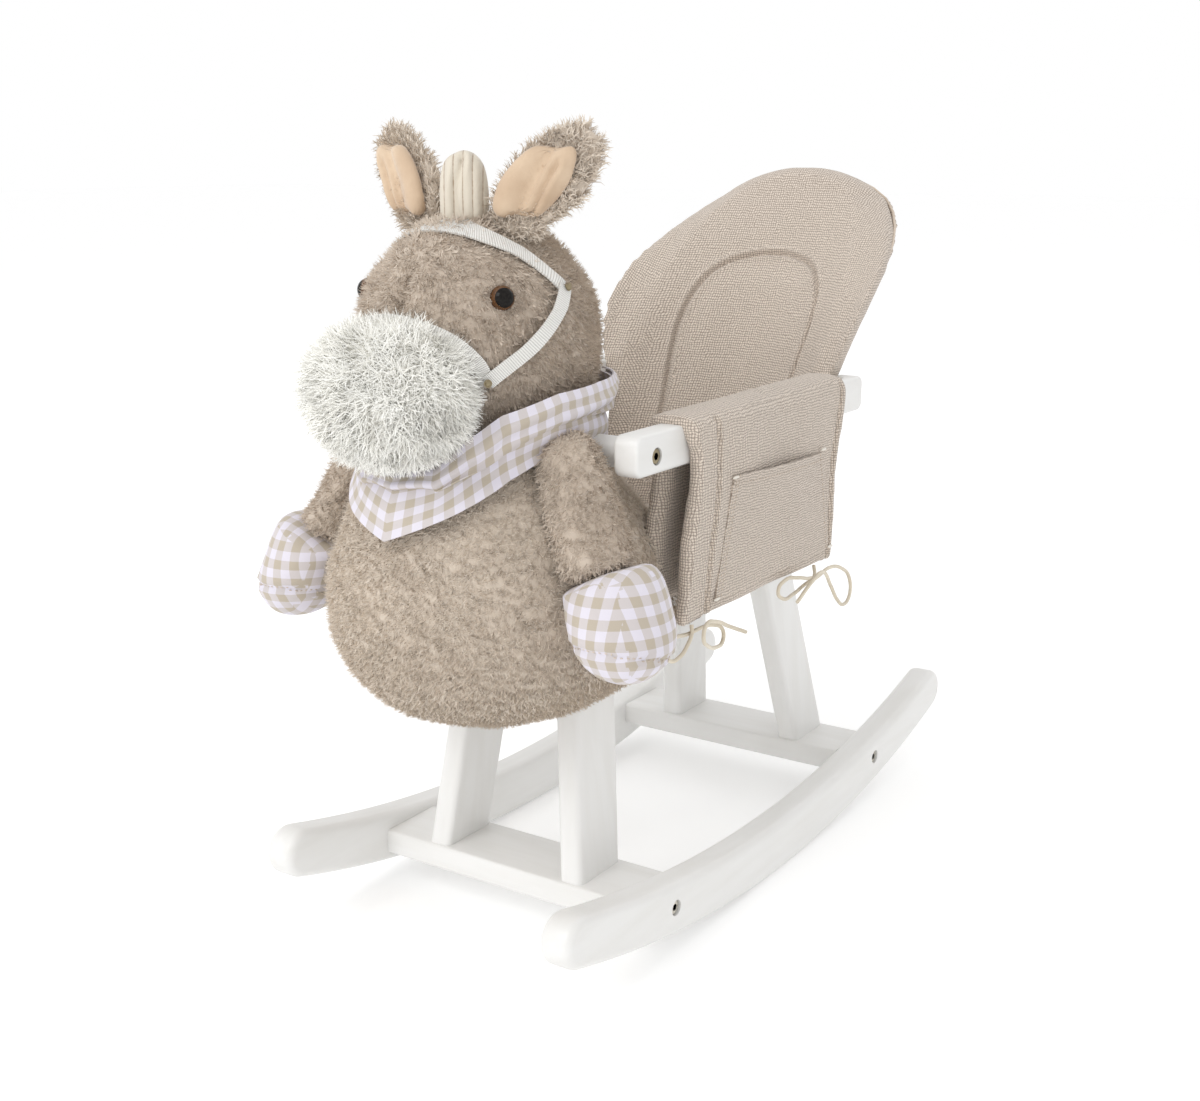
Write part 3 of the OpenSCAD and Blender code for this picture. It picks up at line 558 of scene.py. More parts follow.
rail = {"x": 120, "width": 20, "height": 29, "z": 382, "ends": (-229, 132), "corner": 7, "edge": 3,
        "barY": -204, "barZ": 380, "barR": 11, "screwY": 106}
for side, hand in ((1, "left"), (-1, "right")):
    bm = bmesh.new()
    y0, y1 = rail["ends"]
    blockAt(bm, (rail["width"], y1 - y0, rail["height"]), (side * rail["x"], (y0 + y1) / 2, rail["z"]))
    bevelEdges(bm, longEdges(bm, 0), rail["corner"], 6)
    rim = [e for e in bm.edges if len(e.link_faces) == 2 and e.calc_face_angle(0) > 1.2]
    bevelEdges(bm, rim, rail["edge"], 4)
    obj = finishPiece(hand + "_rail_wood", scaled(bm), paintAlong, "frame", [hand + "_arm_rail"])
    cut = bmesh.new()
    rodAt(cut, 6.2, 6.2, 14, (side * (rail["x"] + 10 + 2.2), rail["barY"], rail["barZ"]), "X", 40)
    rodAt(cut, 4.4, 4.4, 8, (side * (rail["x"] - 1), rail["screwY"], rail["z"] + 14.5 + 2.4), "Z", 32)
    carve(obj, scaled(cut))

bm = bmesh.new()
rodAt(bm, rail["barR"], rail["barR"], 2 * (rail["x"] - 10), (0, rail["barY"], rail["barZ"]), "X", 64)
finishPiece("front_bar_wood", scaled(bm), paintAcross, "frame", ["front_bar"])


def dress(material, *names):
    for n in names:
        nodeOf[n].data.materials.clear()
        nodeOf[n].data.materials.append(material)


dress(paintAcross, "seat_board")
dress(bareWood, "backrest_shell", "neck_post")
print("wood made")


# bolts and screws
bolt = {"headH": 4, "socket": 2.9, "socketDepth": 2.4, "rimEdge": 0.7, "length": 56}


def socketBolt(bm, tip, side, length, headR):
    # a short cylinder head with a hexagon socket, pointing out along X
    head = rodAt(bm, headR, headR, bolt["headH"], (0, 0, -bolt["headH"] / 2), "Z", 40)
    rim = [e for v in head for e in v.link_edges if min(w.co.z for w in e.verts) > -0.01]
    bevelEdges(bm, set(rim), bolt["rimEdge"], 3)
    top = max((f for f in bm.faces if abs(f.normal.z) > 0.9), key=lambda f: f.calc_center_median().z)
    bmesh.ops.delete(bm, geom=[top], context="FACES_ONLY")
    outer = [e for e in bm.edges if len(e.link_faces) == 1]
    mouth = bmesh.ops.create_circle(bm, cap_ends=False, radius=bolt["socket"], segments=6)["verts"]
    inner = list({e for v in mouth for e in v.link_edges})
    bmesh.ops.bridge_loops(bm, edges=outer + inner)
    deep = bmesh.ops.extrude_edge_only(bm, edges=inner)["geom"]
    low = pointsOf(deep)
    bmesh.ops.translate(bm, verts=low, vec=(0, 0, -bolt["socketDepth"]))
    bmesh.ops.contextual_create(bm, geom=[g for g in deep if isinstance(g, bmesh.types.BMEdge)])
    rodAt(bm, 3, 3, length - bolt["headH"], (0, 0, -bolt["headH"] - (length - bolt["headH"]) / 2), "Z", 24)
    bmesh.ops.recalc_face_normals(bm, faces=bm.faces)
    bmesh.ops.rotate(bm, verts=bm.verts, cent=(0, 0, 0), matrix=Matrix.Rotation(side * pi / 2, 3, "Y"))
    bmesh.ops.translate(bm, verts=bm.verts, vec=tip)


def manyParts(name, parts, material, nodes):
    whole = bmesh.new()
    for p in parts:
        part = bmesh.new()
        p(part)
        mesh = bpy.data.meshes.new("part")
        part.to_mesh(mesh)
        part.free()
        whole.from_mesh(mesh)
        bpy.data.meshes.remove(mesh)
    return finishPiece(name, scaled(whole), material, "frame", nodes, 30)


def boltAt(x, y, z, side, length, headR):
    return lambda b: socketBolt(b, (side * x, y, z), side, length, headR)


manyParts("rocker_bolt_set", [boltAt(138.4, y, rocker["boltZ"], s, bolt["length"], 5.3)
                              for s in (1, -1) for y in board["y"]],
          nickel, ["rocker_bolts"])
manyParts("rail_bolt_set", [boltAt(129.2, rail["barY"], rail["barZ"], s, bolt["length"], 5.4) for s in (1, -1)],
          agedBrass, ["rail_bolts"])


def slottedScrew(b, place):
    made = rodAt(b, 3.9, 3.9, 1.6, (0, 0, 0), "Z", 32)
    bevelEdges(b, {e for v in made for e in v.link_edges if min(w.co.z for w in e.verts) > 0.7}, 0.6, 3)
    blockAt(b, (1, 5, 0.6), (0, 0, 0.85))
    blockAt(b, (5, 1, 0.6), (0, 0, 0.85))
    rodAt(b, 2, 1.4, 20, (0, 0, -10.8), "Z", 16)
    bmesh.ops.translate(b, verts=b.verts, vec=place)


manyParts("rail_screw_set", [lambda b, s=s: slottedScrew(b, (s * 119, rail["screwY"], 395.2)) for s in (1, -1)],
          agedBrass, ["rail_screws"])
dress(nickel, "cross_dowel_nuts", "leg_screws", "seat_screws", "post_screws", "backrest_screws")
print("fasteners made")


# seat cover
back = {"slope": 0.61, "foot": 82, "dish": 60, "low": 97, "wide": 122, "top": 562, "pad": 24,
        "seat": 257, "widestAt": 470, "flatUpTo": 400, "narrowAt": 330}


def dishAt(z):
    return back["dish"] if z < back["flatUpTo"] else max(0, back["dish"] - 30 * ((z - back["flatUpTo"]) / 100) ** 2)


def backY(x, z):
    return back["foot"] + (z - back["seat"]) * back["slope"] - dishAt(z) * (x / 100) ** 2


def backHalf(z, grow=0):
    if z < back["widestAt"]:
        swell = smoothStep((z - back["narrowAt"]) / (back["widestAt"] - back["narrowAt"]))
        return back["low"] + (back["wide"] - back["low"]) * swell + grow
    t = min(1.0, (z - back["widestAt"]) / (back["top"] + grow - back["widestAt"]))
    return (back["wide"] + grow) * sqrt(max(0.0, 1 - t * t))


def backPoint(u, v, off, grow=0):
    # u from -1 to 1 across, v from 0 at the seat to 1 at the crown; off is straight back along Y
    low = 0.62  # share of the height that is below the widest place
    if v < low:
        z = back["seat"] + (back["widestAt"] - back["seat"]) * v / low
    else:
        rise = back["top"] + grow - back["widestAt"]
        z = back["widestAt"] + rise * sin((v - low) / (1 - low) * radians(86))
    x = backHalf(z, grow) * u
    return x, backY(x, z) + off, z


def inflate(obj, voxel, pressure, cap, frames=20, quickly=False, rounding=6):
    # remesh, round off the rim, swell as cloth, keep every point within cap of where it began
    mod = obj.modifiers.new("remesh", "REMESH")
    mod.mode = "VOXEL"
    mod.voxel_size = voxel
    soften = obj.modifiers.new("soften", "SMOOTH")
    soften.iterations = rounding
    applyAll(obj)
    if not quickly:
        start = [v.co.copy() for v in obj.data.vertices]
        mod = obj.modifiers.new("cloth", "CLOTH")
        mod.settings.quality = 5
        mod.settings.mass = 0.3
        mod.settings.tension_stiffness = mod.settings.compression_stiffness = 15
        mod.settings.bending_stiffness = 2
        mod.settings.use_pressure = True
        mod.settings.uniform_pressure_force = pressure
        mod.settings.effector_weights.gravity = 0
        for f in range(1, frames + 1):
            scene.frame_set(f)
        applyAll(obj)
        for v, s in zip(obj.data.vertices, start):
            d = v.co - s
            if d.length > cap:
                v.co = s + d.normalized() * cap
        scene.frame_set(1)
    sub = obj.modifiers.new("sub", "SUBSURF")
    sub.levels = sub.render_levels = 1
    applyAll(obj)
    for p in obj.data.polygons:
        p.use_smooth = True


def seamTree(points):
    tree = KDTree(len(points))
    for i, p in enumerate(points):
        tree.insert(p, i)
    tree.balance()
    return tree


def denser(points, step=0.0012):
    out = []
    for a, b in zip(points, points[1:]):
        n = max(1, int((b - a).length / step))
        out += [a.lerp(b, i / n) for i in range(n)]
    return out + [points[-1]]


def curveThrough(points, steps=8):
    # smooth open run through given points
    out = []
    for i in range(len(points) - 1):
        p0, p1 = points[max(i - 1, 0)], points[i]
        p2, p3 = points[i + 1], points[min(i + 2, len(points) - 1)]
        for k in range(steps):
            t = k / steps
            out.append(0.5 * ((2 * p1) + (p2 - p0) * t + (2 * p0 - 5 * p1 + 4 * p2 - p3) * t * t
                              + (3 * p1 - p0 - 3 * p2 + p3) * t ** 3))
    return out + [points[-1]]


def outwards(obj):
    # every point with its own outward direction, read before any point moves
    return [(v, v.normal.copy()) for v in obj.data.vertices]


def groove(obj, seams, depth, width, lift=0.0):
    # presses a sewn line into the padding, with a little roll on each side of it
    points = denser([onto(obj, p) for p in seams])
    tree = seamTree(points)
    obj.data.update()
    for v, out in outwards(obj):
        d = tree.find(v.co)[2]
        if d < width * 4:
            v.co += out * (lift * exp(-((d - 2.2 * width) / width) ** 2) - depth * exp(-(d / width) ** 2))


def onto(obj, p, off=0.0):
    place, normal = obj.closest_point_on_mesh(p)[1:3]
    return place + normal * off


def piping(name, points, radius, material, body="frame"):
    line = bpy.data.curves.new(name, "CURVE")
    line.dimensions = "3D"
    spline = line.splines.new("POLY")
    spline.points.add(len(points) - 1)
    for p, q in zip(spline.points, points):
        p.co = (*q, 1)
    line.bevel_depth = radius
    line.bevel_resolution = 2
    line.use_fill_caps = True
    obj = bpy.data.objects.new(name, line)
    line.materials.append(material)
    scene.collection.objects.link(obj)
    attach(obj, body)
    return obj


def stitches(name, obj, runs, material, pitch=0.0036, length=0.0024, radius=0.00042, body="frame"):
    # each stitch is one small bead laid along the run
    bm = bmesh.new()
    for run in runs:
        points = denser([onto(obj, p, 0.0002) for p in curveThrough(run, 6)], 0.0006)
        gap = 0
        for a, b in zip(points, points[1:]):
            gap += (b - a).length
            if gap >= pitch and (b - a).length > 1e-6:
                gap = 0
                turn = (b - a).to_track_quat("X", "Z").to_matrix().to_4x4()
                shape = Matrix.Diagonal((length / 2, radius, radius, 1))
                bmesh.ops.create_icosphere(bm, subdivisions=1, radius=1, matrix=Matrix.Translation(a) @ turn @ shape)
    return finishPiece(name, bm, material, body, [], 60)


def gridPiece(name, cols, rows, place, size, thick, material, body="frame", stands=(), wrap=False):
    # place(u, v) gives a point in millimetres for u, v from 0 to 1; size is the cut size in metres
    bm = bmesh.new()
    bmesh.ops.create_grid(bm, x_segments=cols, y_segments=rows, size=0.5)
    layer = bm.loops.layers.uv.new("flat")
    for f in bm.faces:
        for loop in f.loops:
            loop[layer].uv = ((loop.vert.co.x + 0.5) * size[0], (loop.vert.co.y + 0.5) * size[1])
    for v in bm.verts:
        v.co = Vector(place(v.co.x + 0.5, v.co.y + 0.5))
    if wrap:
        bmesh.ops.remove_doubles(bm, verts=bm.verts, dist=0.02)
    bmesh.ops.recalc_face_normals(bm, faces=bm.faces)
    if thick:
        bmesh.ops.solidify(bm, geom=bm.faces[:], thickness=thick)
        bmesh.ops.recalc_face_normals(bm, faces=bm.faces)
    return finishPiece(name, scaled(bm), material, body, stands, 60)


def backSlab(off, depth, grow):
    # two copies of the backrest's surface, one behind the other, closed round the rim
    bm = bmesh.new()
    bmesh.ops.create_grid(bm, x_segments=36, y_segments=54, size=0.5)
    for v in bm.verts:
        v.co = Vector(backPoint(v.co.x * 2, v.co.y + 0.5, off, grow))
    grown = bmesh.ops.extrude_face_region(bm, geom=bm.faces[:])["geom"]
    bmesh.ops.translate(bm, verts=pointsOf(grown), vec=(0, depth, 0))
    bmesh.ops.recalc_face_normals(bm, faces=bm.faces)
    return bm


backPad = finishPiece("backrest_cushion", scaled(backSlab(-1.5, back["pad"] + 1, 3)), linen, "frame",
                      ["backrest_pad"])
inflate(backPad, 0.003, 4, 0.005, rounding=24)
panelSeam = [at(x, backY(x, z), z) for x, z in
             [(-55, 292), (-58, 330), (-63, 370), (-67, 405), (-68, 430), (-63, 456), (-48, 475), (-26, 484),
              (0, 487), (26, 484), (48, 475), (63, 456), (68, 430), (67, 405), (63, 370), (58, 330), (55, 292)]]
panelSeam = curveThrough(panelSeam, 6)
# the raised panel stands a little proud inside its seam
for v, out in outwards(backPad):
    x, z = v.co.x * 1000, v.co.z * 1000
    if out.y < -0.2:
        v.co += out * 0.004 * min(smoothStep((68 - abs(x)) / 30), smoothStep((487 - z) / 30))
groove(backPad, panelSeam, 0.0045, 0.002, 0.001)
boxUv(backPad)
stitches("backrest_stitches", backPad, [panelSeam], threadMat)
sleeve = finishPiece("backrest_rear_cover", scaled(backSlab(back["pad"] + 0.3, 12, -0.5)), linen, "frame",
                     ["backrest_sleeve"])
inflate(sleeve, 0.004, 3, 0.002, quickly=True, rounding=3)
boxUv(sleeve)
backSeam = [at(*backPoint(u, v, back["pad"] + 0.5, 0)) for u, v in
            [(-1, i / 24) for i in range(1, 24)] + [(-0.9, 1), (0, 1), (0.9, 1)]
            + [(1, i / 24) for i in range(23, 0, -1)]]
piping("backrest_rear_seam", denser(backSeam, 0.004), 0.0014, threadMat)
print("backrest cushion made")

# seat pad
bm = bmesh.new()
bmesh.ops.create_grid(bm, x_segments=20, y_segments=14, size=0.5)
for v in bm.verts:
    x, t = v.co.x * 192, v.co.y + 0.5
    v.co = Vector((x, -47 + (backY(x, 257) - 3 + 47) * t, 259))
grown = bmesh.ops.extrude_face_region(bm, geom=bm.faces[:])["geom"]
bmesh.ops.translate(bm, verts=pointsOf(grown), vec=(0, 0, 16))
bmesh.ops.recalc_face_normals(bm, faces=bm.faces)
seatPad = finishPiece("seat_cushion", scaled(bm), linen, "frame", ["seat_pad"])
inflate(seatPad, 0.005, 4, 0.005)
seatSeams = [[at(x, y, 277) for y in range(-44, int(backY(x, 257)) - 6, 6)] for x in (-48, 0, 48)]
for s in seatSeams:
    groove(seatPad, s, 0.003, 0.0025)
boxUv(seatPad)
stitches("seat_cushion_stitches", seatPad, seatSeams, threadMat)
print("seat cushion made")

# side flaps over the rails
flap = {"inner": 99.6, "outer": 140.4, "top": 406.9, "thick": 10, "low": 252, "seat": 257.4, "crown": 10,
        "front": [(252, -182), (262, -182), (312, -179), (340, -171), (365, -166), (385, -170), (407, -172)],
        "rear": [(252, 60), (287, 63), (340, 72), (367, 76), (407, 78)]}


def flapShape():
    f = flap
    bm = bmesh.new()
    t, r = f["thick"], f["crown"]
    corners = [(f["inner"], f["seat"]), (f["inner"] + t, f["seat"]), (f["inner"] + t, f["top"] - t),
               (f["outer"] - t, f["top"] - t), (f["outer"] - t, f["low"]), (f["outer"], f["low"]),
               (f["outer"], f["top"] - r)]
    line = [bm.verts.new((x, 0, z)) for x, z in corners]
    for a, b in zip(line, line[1:]):
        bm.edges.new((a, b))
    out = bmesh.ops.spin(bm, geom=[line[-1]], cent=(f["outer"] - r, 0, f["top"] - r), axis=(0, 1, 0),
                         angle=-pi / 2, steps=5)
    v = pointsOf(out["geom_last"])[0]
    w = bm.verts.new((f["inner"] + r, 0, f["top"]))
    bm.edges.new((v, w))
    out = bmesh.ops.spin(bm, geom=[w], cent=(f["inner"] + r, 0, f["top"] - r), axis=(0, 1, 0),
                         angle=-pi / 2, steps=5)
    v = pointsOf(out["geom_last"])[0]
    bm.edges.new((v, line[0]))
    bmesh.ops.remove_doubles(bm, verts=bm.verts, dist=0.01)
    face = bmesh.ops.contextual_create(bm, geom=bm.edges[:])["faces"]
    grown = bmesh.ops.extrude_face_region(bm, geom=face)["geom"]
    bmesh.ops.translate(bm, verts=pointsOf(grown), vec=(0, 1, 0))
    bmesh.ops.recalc_face_normals(bm, faces=bm.faces)
    for z in (262, 287, 312, 340, 365, 385):
        bmesh.ops.bisect_plane(bm, geom=bm.verts[:] + bm.edges[:] + bm.faces[:], plane_co=(0, 0, z),
                               plane_no=(0, 0, 1))
    for v in bm.verts:
        v.co.y = lookup(v.co.z, flap["rear"] if v.co.y > 0.5 else flap["front"])
    return bm


shape = flapShape()
leftFlap = finishPiece("left_flap_cover", scaled(shape), linen, "frame", ["left_side_flap"])
inflate(leftFlap, 0.004, 3, 0.0035, rounding=7)
# held flat where the pocket lies
for v in leftFlap.data.vertices:
    if v.co.x > 0.13:
        v.co.x = min(v.co.x, 0.1412)
flapSeams = [curveThrough([at(x, y, z) for y, z in run], 8) for x, run in (
    (flap["outer"], ((-150, 256), (-148, 300), (-138, 340), (-136, 372), (-139, 398))),
    (flap["outer"], ((48, 256), (51, 300), (57, 350), (62, 380), (64, 398))),
    (flap["inner"], ((-158, 262), (-156, 310), (-148, 350), (-150, 398))))]
for run in flapSeams:
    groove(leftFlap, run, 0.0028, 0.0026, 0.0006)
# a soft sag between the seams, and slack folds at the hem
for v, out in outwards(leftFlap):
    y, z = v.co.y * 1000 - baseY, v.co.z * 1000
    if out.x > 0.3 and v.co.x > 0.12:
        wave = sin(y / 17 + 1.3) * 0.0011 * smoothStep((300 - z) / 50)
        v.co.x += wave + noise.noise((y / 60, z / 60, 3.1)) * 0.0022
boxUv(leftFlap)
rightFlap = bpy.data.objects.new("right_flap_cover", leftFlap.data.copy())
scene.collection.objects.link(rightFlap)
bm = bmesh.new()
bm.from_mesh(rightFlap.data)
bmesh.ops.scale(bm, verts=bm.verts, vec=(-1, 1, 1))
bmesh.ops.reverse_faces(bm, faces=bm.faces[:])
bm.to_mesh(rightFlap.data)
bm.free()
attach(rightFlap, "frame")
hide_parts("right_side_flap")
print("flaps made")


def sideways(points, side):
    return [Vector((p.x * side, p.y, p.z)) for p in points]


pocket = {"low": (-141, 49, 264), "high": (-116, 30, 350), "gape": 5, "thick": 1.6}


def pocketPlace(side):
    def place(u, v):
        y0, y1, z = Vector(pocket["low"]).lerp(Vector(pocket["high"]), v)
        z += 5 * v * (u - 0.5) * -1.2
        out = 142.6 + pocket["gape"] * sin(pi * u) * v ** 2.2 + 1.3 * noise.noise((u * 4, v * 3, 7.7))
        return side * out, y0 + (y1 - y0) * u, z
    return place


for side, hand, cover in ((1, "left", leftFlap), (-1, "right", rightFlap)):
    patch = gridPiece(hand + "_pocket_cloth", 60, 40, pocketPlace(side), (0.18, 0.09), pocket["thick"], linen,
                      "frame", [hand + "_pocket"])
    place = pocketPlace(1)
    hem = [Vector(place(i / 30, 0.93)) for i in range(31)]
    hem = sideways([at(*p) for p in hem], side)
    sides = [[Vector(place(u, i / 20)) for i in range(21)] for u in (0.02, 0.045, 0.975)]
    sides = [sideways([at(*p) for p in s], side) for s in sides]
    stitches(hand + "_pocket_stitches", patch, [hem] + sides, threadMat)
    runs = []
    for run in flapSeams:
        moved = sideways(run, side)
        runs += [moved, [p + Vector((0, 0.0035, 0)) for p in moved]]
    stitches(hand + "_flap_stitches", cover, runs, threadMat)
    bm = bmesh.new()
    for y, z in ((-116, 352), (30, 350), (49, 266), (-141, 266)):
        place = Matrix.Translation(at(side * 143.6, y, z)) @ Matrix.Diagonal((0.001, 0.0046, 0.0011, 1))
        bmesh.ops.create_icosphere(bm, subdivisions=2, radius=1, matrix=place)
    finishPiece(hand + "_bartacks", bm, paleThread, "frame", [], 60)
print("pockets made")


# plush: shapes
bodyRings = [(182, 20, 24, -215), (186, 58, 68, -212), (200, 92, 105, -208), (225, 118, 130, -205),
             (255, 129, 140, -203), (285, 127, 134, -206), (315, 117, 120, -212), (345, 98, 106, -219),
             (370, 78, 90, -224), (388, 66, 76, -228)]
headRings = [(388, 66, 76, -228), (405, 73, 85, -229), (430, 79, 93, -230), (455, 81, 96, -230),
             (480, 78, 92, -230), (500, 69, 82, -230), (520, 53, 63, -231), (532, 36, 43, -232),
             (540, 12, 15, -233)]
skinRings = bodyRings + headRings[1:]
plush = {"skinIn": 3.2, "curl": 0.0062, "pile": 0.012, "ear": 0.0085, "bodyDensity": 150000,
         "headDensity": 165000, "muzzleDensity": 165000, "armDensity": 150000, "earDensity": 140000}


def skinPoint(a, z, off):
    rx, ry, yc = (lookup(z, [(r[0], r[k]) for r in skinRings]) for k in (1, 2, 3))
    return Vector(((rx + off) * sin(radians(a)), yc - (ry + off) * cos(radians(a)), z))


def ovals(table, off):
    return [(0, r[3], r[0], max(1.0, r[1] + off), max(1.0, r[2] + off)) for r in table]


# tufts that the fur is planted with: a curled lock and a longer wavy one
def tuft(name, blades, height, bend, curl, width, rows=3):
    bm = bmesh.new()
    along = bm.verts.layers.float.new("along")
    for i in range(blades):
        made = bmesh.ops.create_grid(bm, x_segments=1, y_segments=rows, size=0.5)["verts"]
        for v in made:
            t = v.co.y + 0.5
            v[along] = t
            w = width * (1 - 0.8 * t * t)
            x = v.co.x * w
            ang = curl * t
            v.co = Vector((x + 0.10 * height * sin(5 * t + i), bend * height * t * t + 0.22 * height * sin(ang) * t,
                           height * (t - 0.18 * (1 - cos(ang)) * t)))
        turn = Matrix.Rotation(i * 2 * pi / blades + 0.5 * i, 3, "Z")
        bmesh.ops.rotate(bm, verts=made, cent=(0, 0, 0), matrix=turn)
        apart = 0.16 * height
        bmesh.ops.translate(bm, verts=made, vec=(apart * cos(i * 2.1), apart * sin(i * 2.1), -0.1 * height))
    mesh = bpy.data.meshes.new(name)
    bm.to_mesh(mesh)
    bm.free()
    for p in mesh.polygons:
        p.use_smooth = True
    obj = bpy.data.objects.new(name, mesh)
    scene.collection.objects.link(obj)
    return obj


def plantFur(obj, lock, density, comb, tilt=0.8, messy=0.9, seed=1):
    # scatters locks over the skin, leaning along comb, each with its own shade
    tree = bpy.data.node_groups.new("fur", "GeometryNodeTree")
    tree.interface.new_socket("Geometry", in_out="INPUT", socket_type="NodeSocketGeometry")
    tree.interface.new_socket("Geometry", in_out="OUTPUT", socket_type="NodeSocketGeometry")
    link = tree.links.new

    def make(kind, **settings):
        n = tree.nodes.new(kind)
        for key, value in settings.items():
            if hasattr(n, key):
                setattr(n, key, value)
            else:
                n.inputs[key.replace("_", " ")].default_value = value
        return n

    def combine(kind, first, second=None, **settings):
        n = make("ShaderNodeVectorMath", operation=kind, **settings)
        link(first, n.inputs[0])
        if second:
            link(second, n.inputs[1])
        return n.outputs[0]

    start, end = make("NodeGroupInput"), make("NodeGroupOutput")
    spread = make("GeometryNodeDistributePointsOnFaces", Density=density, Seed=seed)
    link(start.outputs[0], spread.inputs["Mesh"])
    lean = make("ShaderNodeVectorMath", operation="SCALE", Scale=tilt)
    lean.inputs[0].default_value = comb
    swirl = make("ShaderNodeTexNoise", Scale=55, Detail=2)
    shift = make("ShaderNodeVectorMath", operation="SUBTRACT")
    shift.inputs[1].default_value = (0.5, 0.5, 0.5)
    link(swirl.outputs["Color"], shift.inputs[0])
    strong = combine("SCALE", shift.outputs[0], Scale=messy * 3)
    total = combine("ADD", combine("ADD", spread.outputs["Normal"], lean.outputs[0]), strong)
    align = make("FunctionNodeAlignRotationToVector", axis="Z")
    link(total, align.inputs["Vector"])
    angle = make("FunctionNodeRandomValue")
    angle.inputs["Max"].default_value = 6.283
    angle.inputs["Seed"].default_value = seed + 3
    turn = make("FunctionNodeAxisAngleToRotation", Axis=(0, 0, 1))
    link(angle.outputs[1], turn.inputs["Angle"])
    spin = make("FunctionNodeRotateRotation", rotation_space="LOCAL")
    link(align.outputs[0], spin.inputs["Rotation"])
    link(turn.outputs[0], spin.inputs["Rotate By"])
    source = make("GeometryNodeObjectInfo", Object=lock)
    size = make("FunctionNodeRandomValue")
    size.inputs["Min"].default_value = 0.7
    size.inputs["Max"].default_value = 1.25
    size.inputs["Seed"].default_value = seed + 7
    place = make("GeometryNodeInstanceOnPoints")
    link(source.outputs["Geometry"], place.inputs["Instance"])
    link(spread.outputs["Points"], place.inputs["Points"])
    link(spin.outputs[0], place.inputs["Rotation"])
    link(size.outputs[1], place.inputs["Scale"])
    shade = make("FunctionNodeRandomValue")
    shade.inputs["Seed"].default_value = seed + 11
    store = make("GeometryNodeStoreNamedAttribute", domain="INSTANCE", Name="strand")
    link(place.outputs[0], store.inputs["Geometry"])
    link(shade.outputs[1], store.inputs["Value"])
    real = make("GeometryNodeRealizeInstances")
    link(store.outputs[0], real.inputs[0])
    # the skin beneath the locks has no along value, so it takes the darker root tone: painted shade under the fur
    skin = make("GeometryNodeStoreNamedAttribute", domain="POINT", Name="strand", Value=0.6)
    link(start.outputs[0], skin.inputs["Geometry"])
    dressed = make("GeometryNodeSetMaterial", Material=obj.data.materials[0])
    link(real.outputs[0], dressed.inputs[0])
    both = make("GeometryNodeJoinGeometry")
    link(skin.outputs[0], both.inputs[0])
    link(dressed.outputs[0], both.inputs[0])
    link(both.outputs[0], end.inputs[0])
    mod = obj.modifiers.new("fur", "NODES")
    mod.node_group = tree
    applyAll(obj)


curlLock = tuft("curl_lock", 4, plush["curl"], 0.55, 2.4, 0.0008, 2)
pileLock = tuft("pile_lock", 5, plush["pile"], 0.35, 1.0, 0.0009)
earLock = tuft("ear_lock", 4, plush["ear"], 0.3, 1.6, 0.001)


def furPiece(name, rings, material, stands, body="frame", levels=2, lumps=0.9, squeeze=None,
             segments=40):
    bm = bmesh.new()
    loftRings(bm, rings, segments)
    obj = finishPiece(name, scaled(bm), material, body, stands, 180)
    sub = obj.modifiers.new("sub", "SUBSURF")
    sub.levels = sub.render_levels = levels
    applyAll(obj)
    for v, out in outwards(obj):
        p = v.co * 1000
        n = noise.noise(p / 34) * 2.2 + noise.noise(p / 7) * lumps
        v.co += out * n / 1000
        if squeeze:
            v.co = squeeze(v.co)
    return obj


def betweenFlaps(p):
    # the belly is pressed in where the flaps and rails hold it
    y, z = p.y * 1000 - baseY, p.z * 1000
    limit = 96.5 + 40 * smoothStep((-174 - y) / 10) + 40 * smoothStep((252 - z) / 10)
    x = max(-limit, min(limit, p.x * 1000))
    return Vector((x / 1000, p.y, p.z))


body = furPiece("plush_body_fur", ovals(bodyRings, -plush["skinIn"]), curlyFur, ["plush_body"],
                squeeze=betweenFlaps)
plantFur(body, curlLock, plush["bodyDensity"], (0, 0, -1), 1.0, 0.45, 3)
head = furPiece("plush_head_fur", ovals(headRings, -plush["skinIn"]), darkerFur, ["plush_head"])
browSeam = [at(0, -300 - 30 * sin(radians(z - 440)), z) for z in range(474, 524, 5)]
groove(head, browSeam, 0.004, 0.005, 0.001)
plantFur(head, curlLock, plush["headDensity"], (0, 0.6, -0.7), 1.0, 0.4, 5)
print("body and head made")

muzzleSize = {"y": -328, "z": 428, "wide": 57, "round": 43}
steps = (-84, -65, -52, -39, -26, -13, 0, 13, 26, 39, 52, 65, 84)
rings = [(0, muzzleSize["y"], muzzleSize["z"] + muzzleSize["round"] * sin(radians(a)),
          muzzleSize["wide"] * cos(radians(a)), muzzleSize["round"] * cos(radians(a))) for a in steps]
muzzle = furPiece("muzzle_fur", rings, creamPile, ["muzzle"], lumps=1.2)
plantFur(muzzle, pileLock, plush["muzzleDensity"], (0, -0.5, -0.6), 0.7, 0.9, 7)

# eyes with a round pupil on the outer side
eye = {"radius": 8.3, "angle": 54, "height": 489, "pupil": 0.9}
for side, hand in ((1, "left"), (-1, "right")):
    centre = skinPoint(eye["angle"] * side, eye["height"], -3.4)
    out = Vector((sin(radians(eye["angle"] * side)), -cos(radians(eye["angle"])), 0.12)).normalized()
    bm = bmesh.new()
    bmesh.ops.create_uvsphere(bm, u_segments=40, v_segments=28, radius=eye["radius"])
    for f in bm.faces:
        f.material_index = 1 if f.calc_center_median().normalized().z > cos(eye["pupil"]) else 0
    turn = out.to_track_quat("Z", "Y").to_matrix().to_4x4()
    bmesh.ops.transform(bm, matrix=Matrix.Translation(centre) @ turn, verts=bm.verts)
    obj = finishPiece(hand + "_eye_ball", scaled(bm), eyeBrown, "frame", [hand + "_eye"], 180)
    obj.data.materials.append(pupilBlack)
print("muzzle and eyes made")

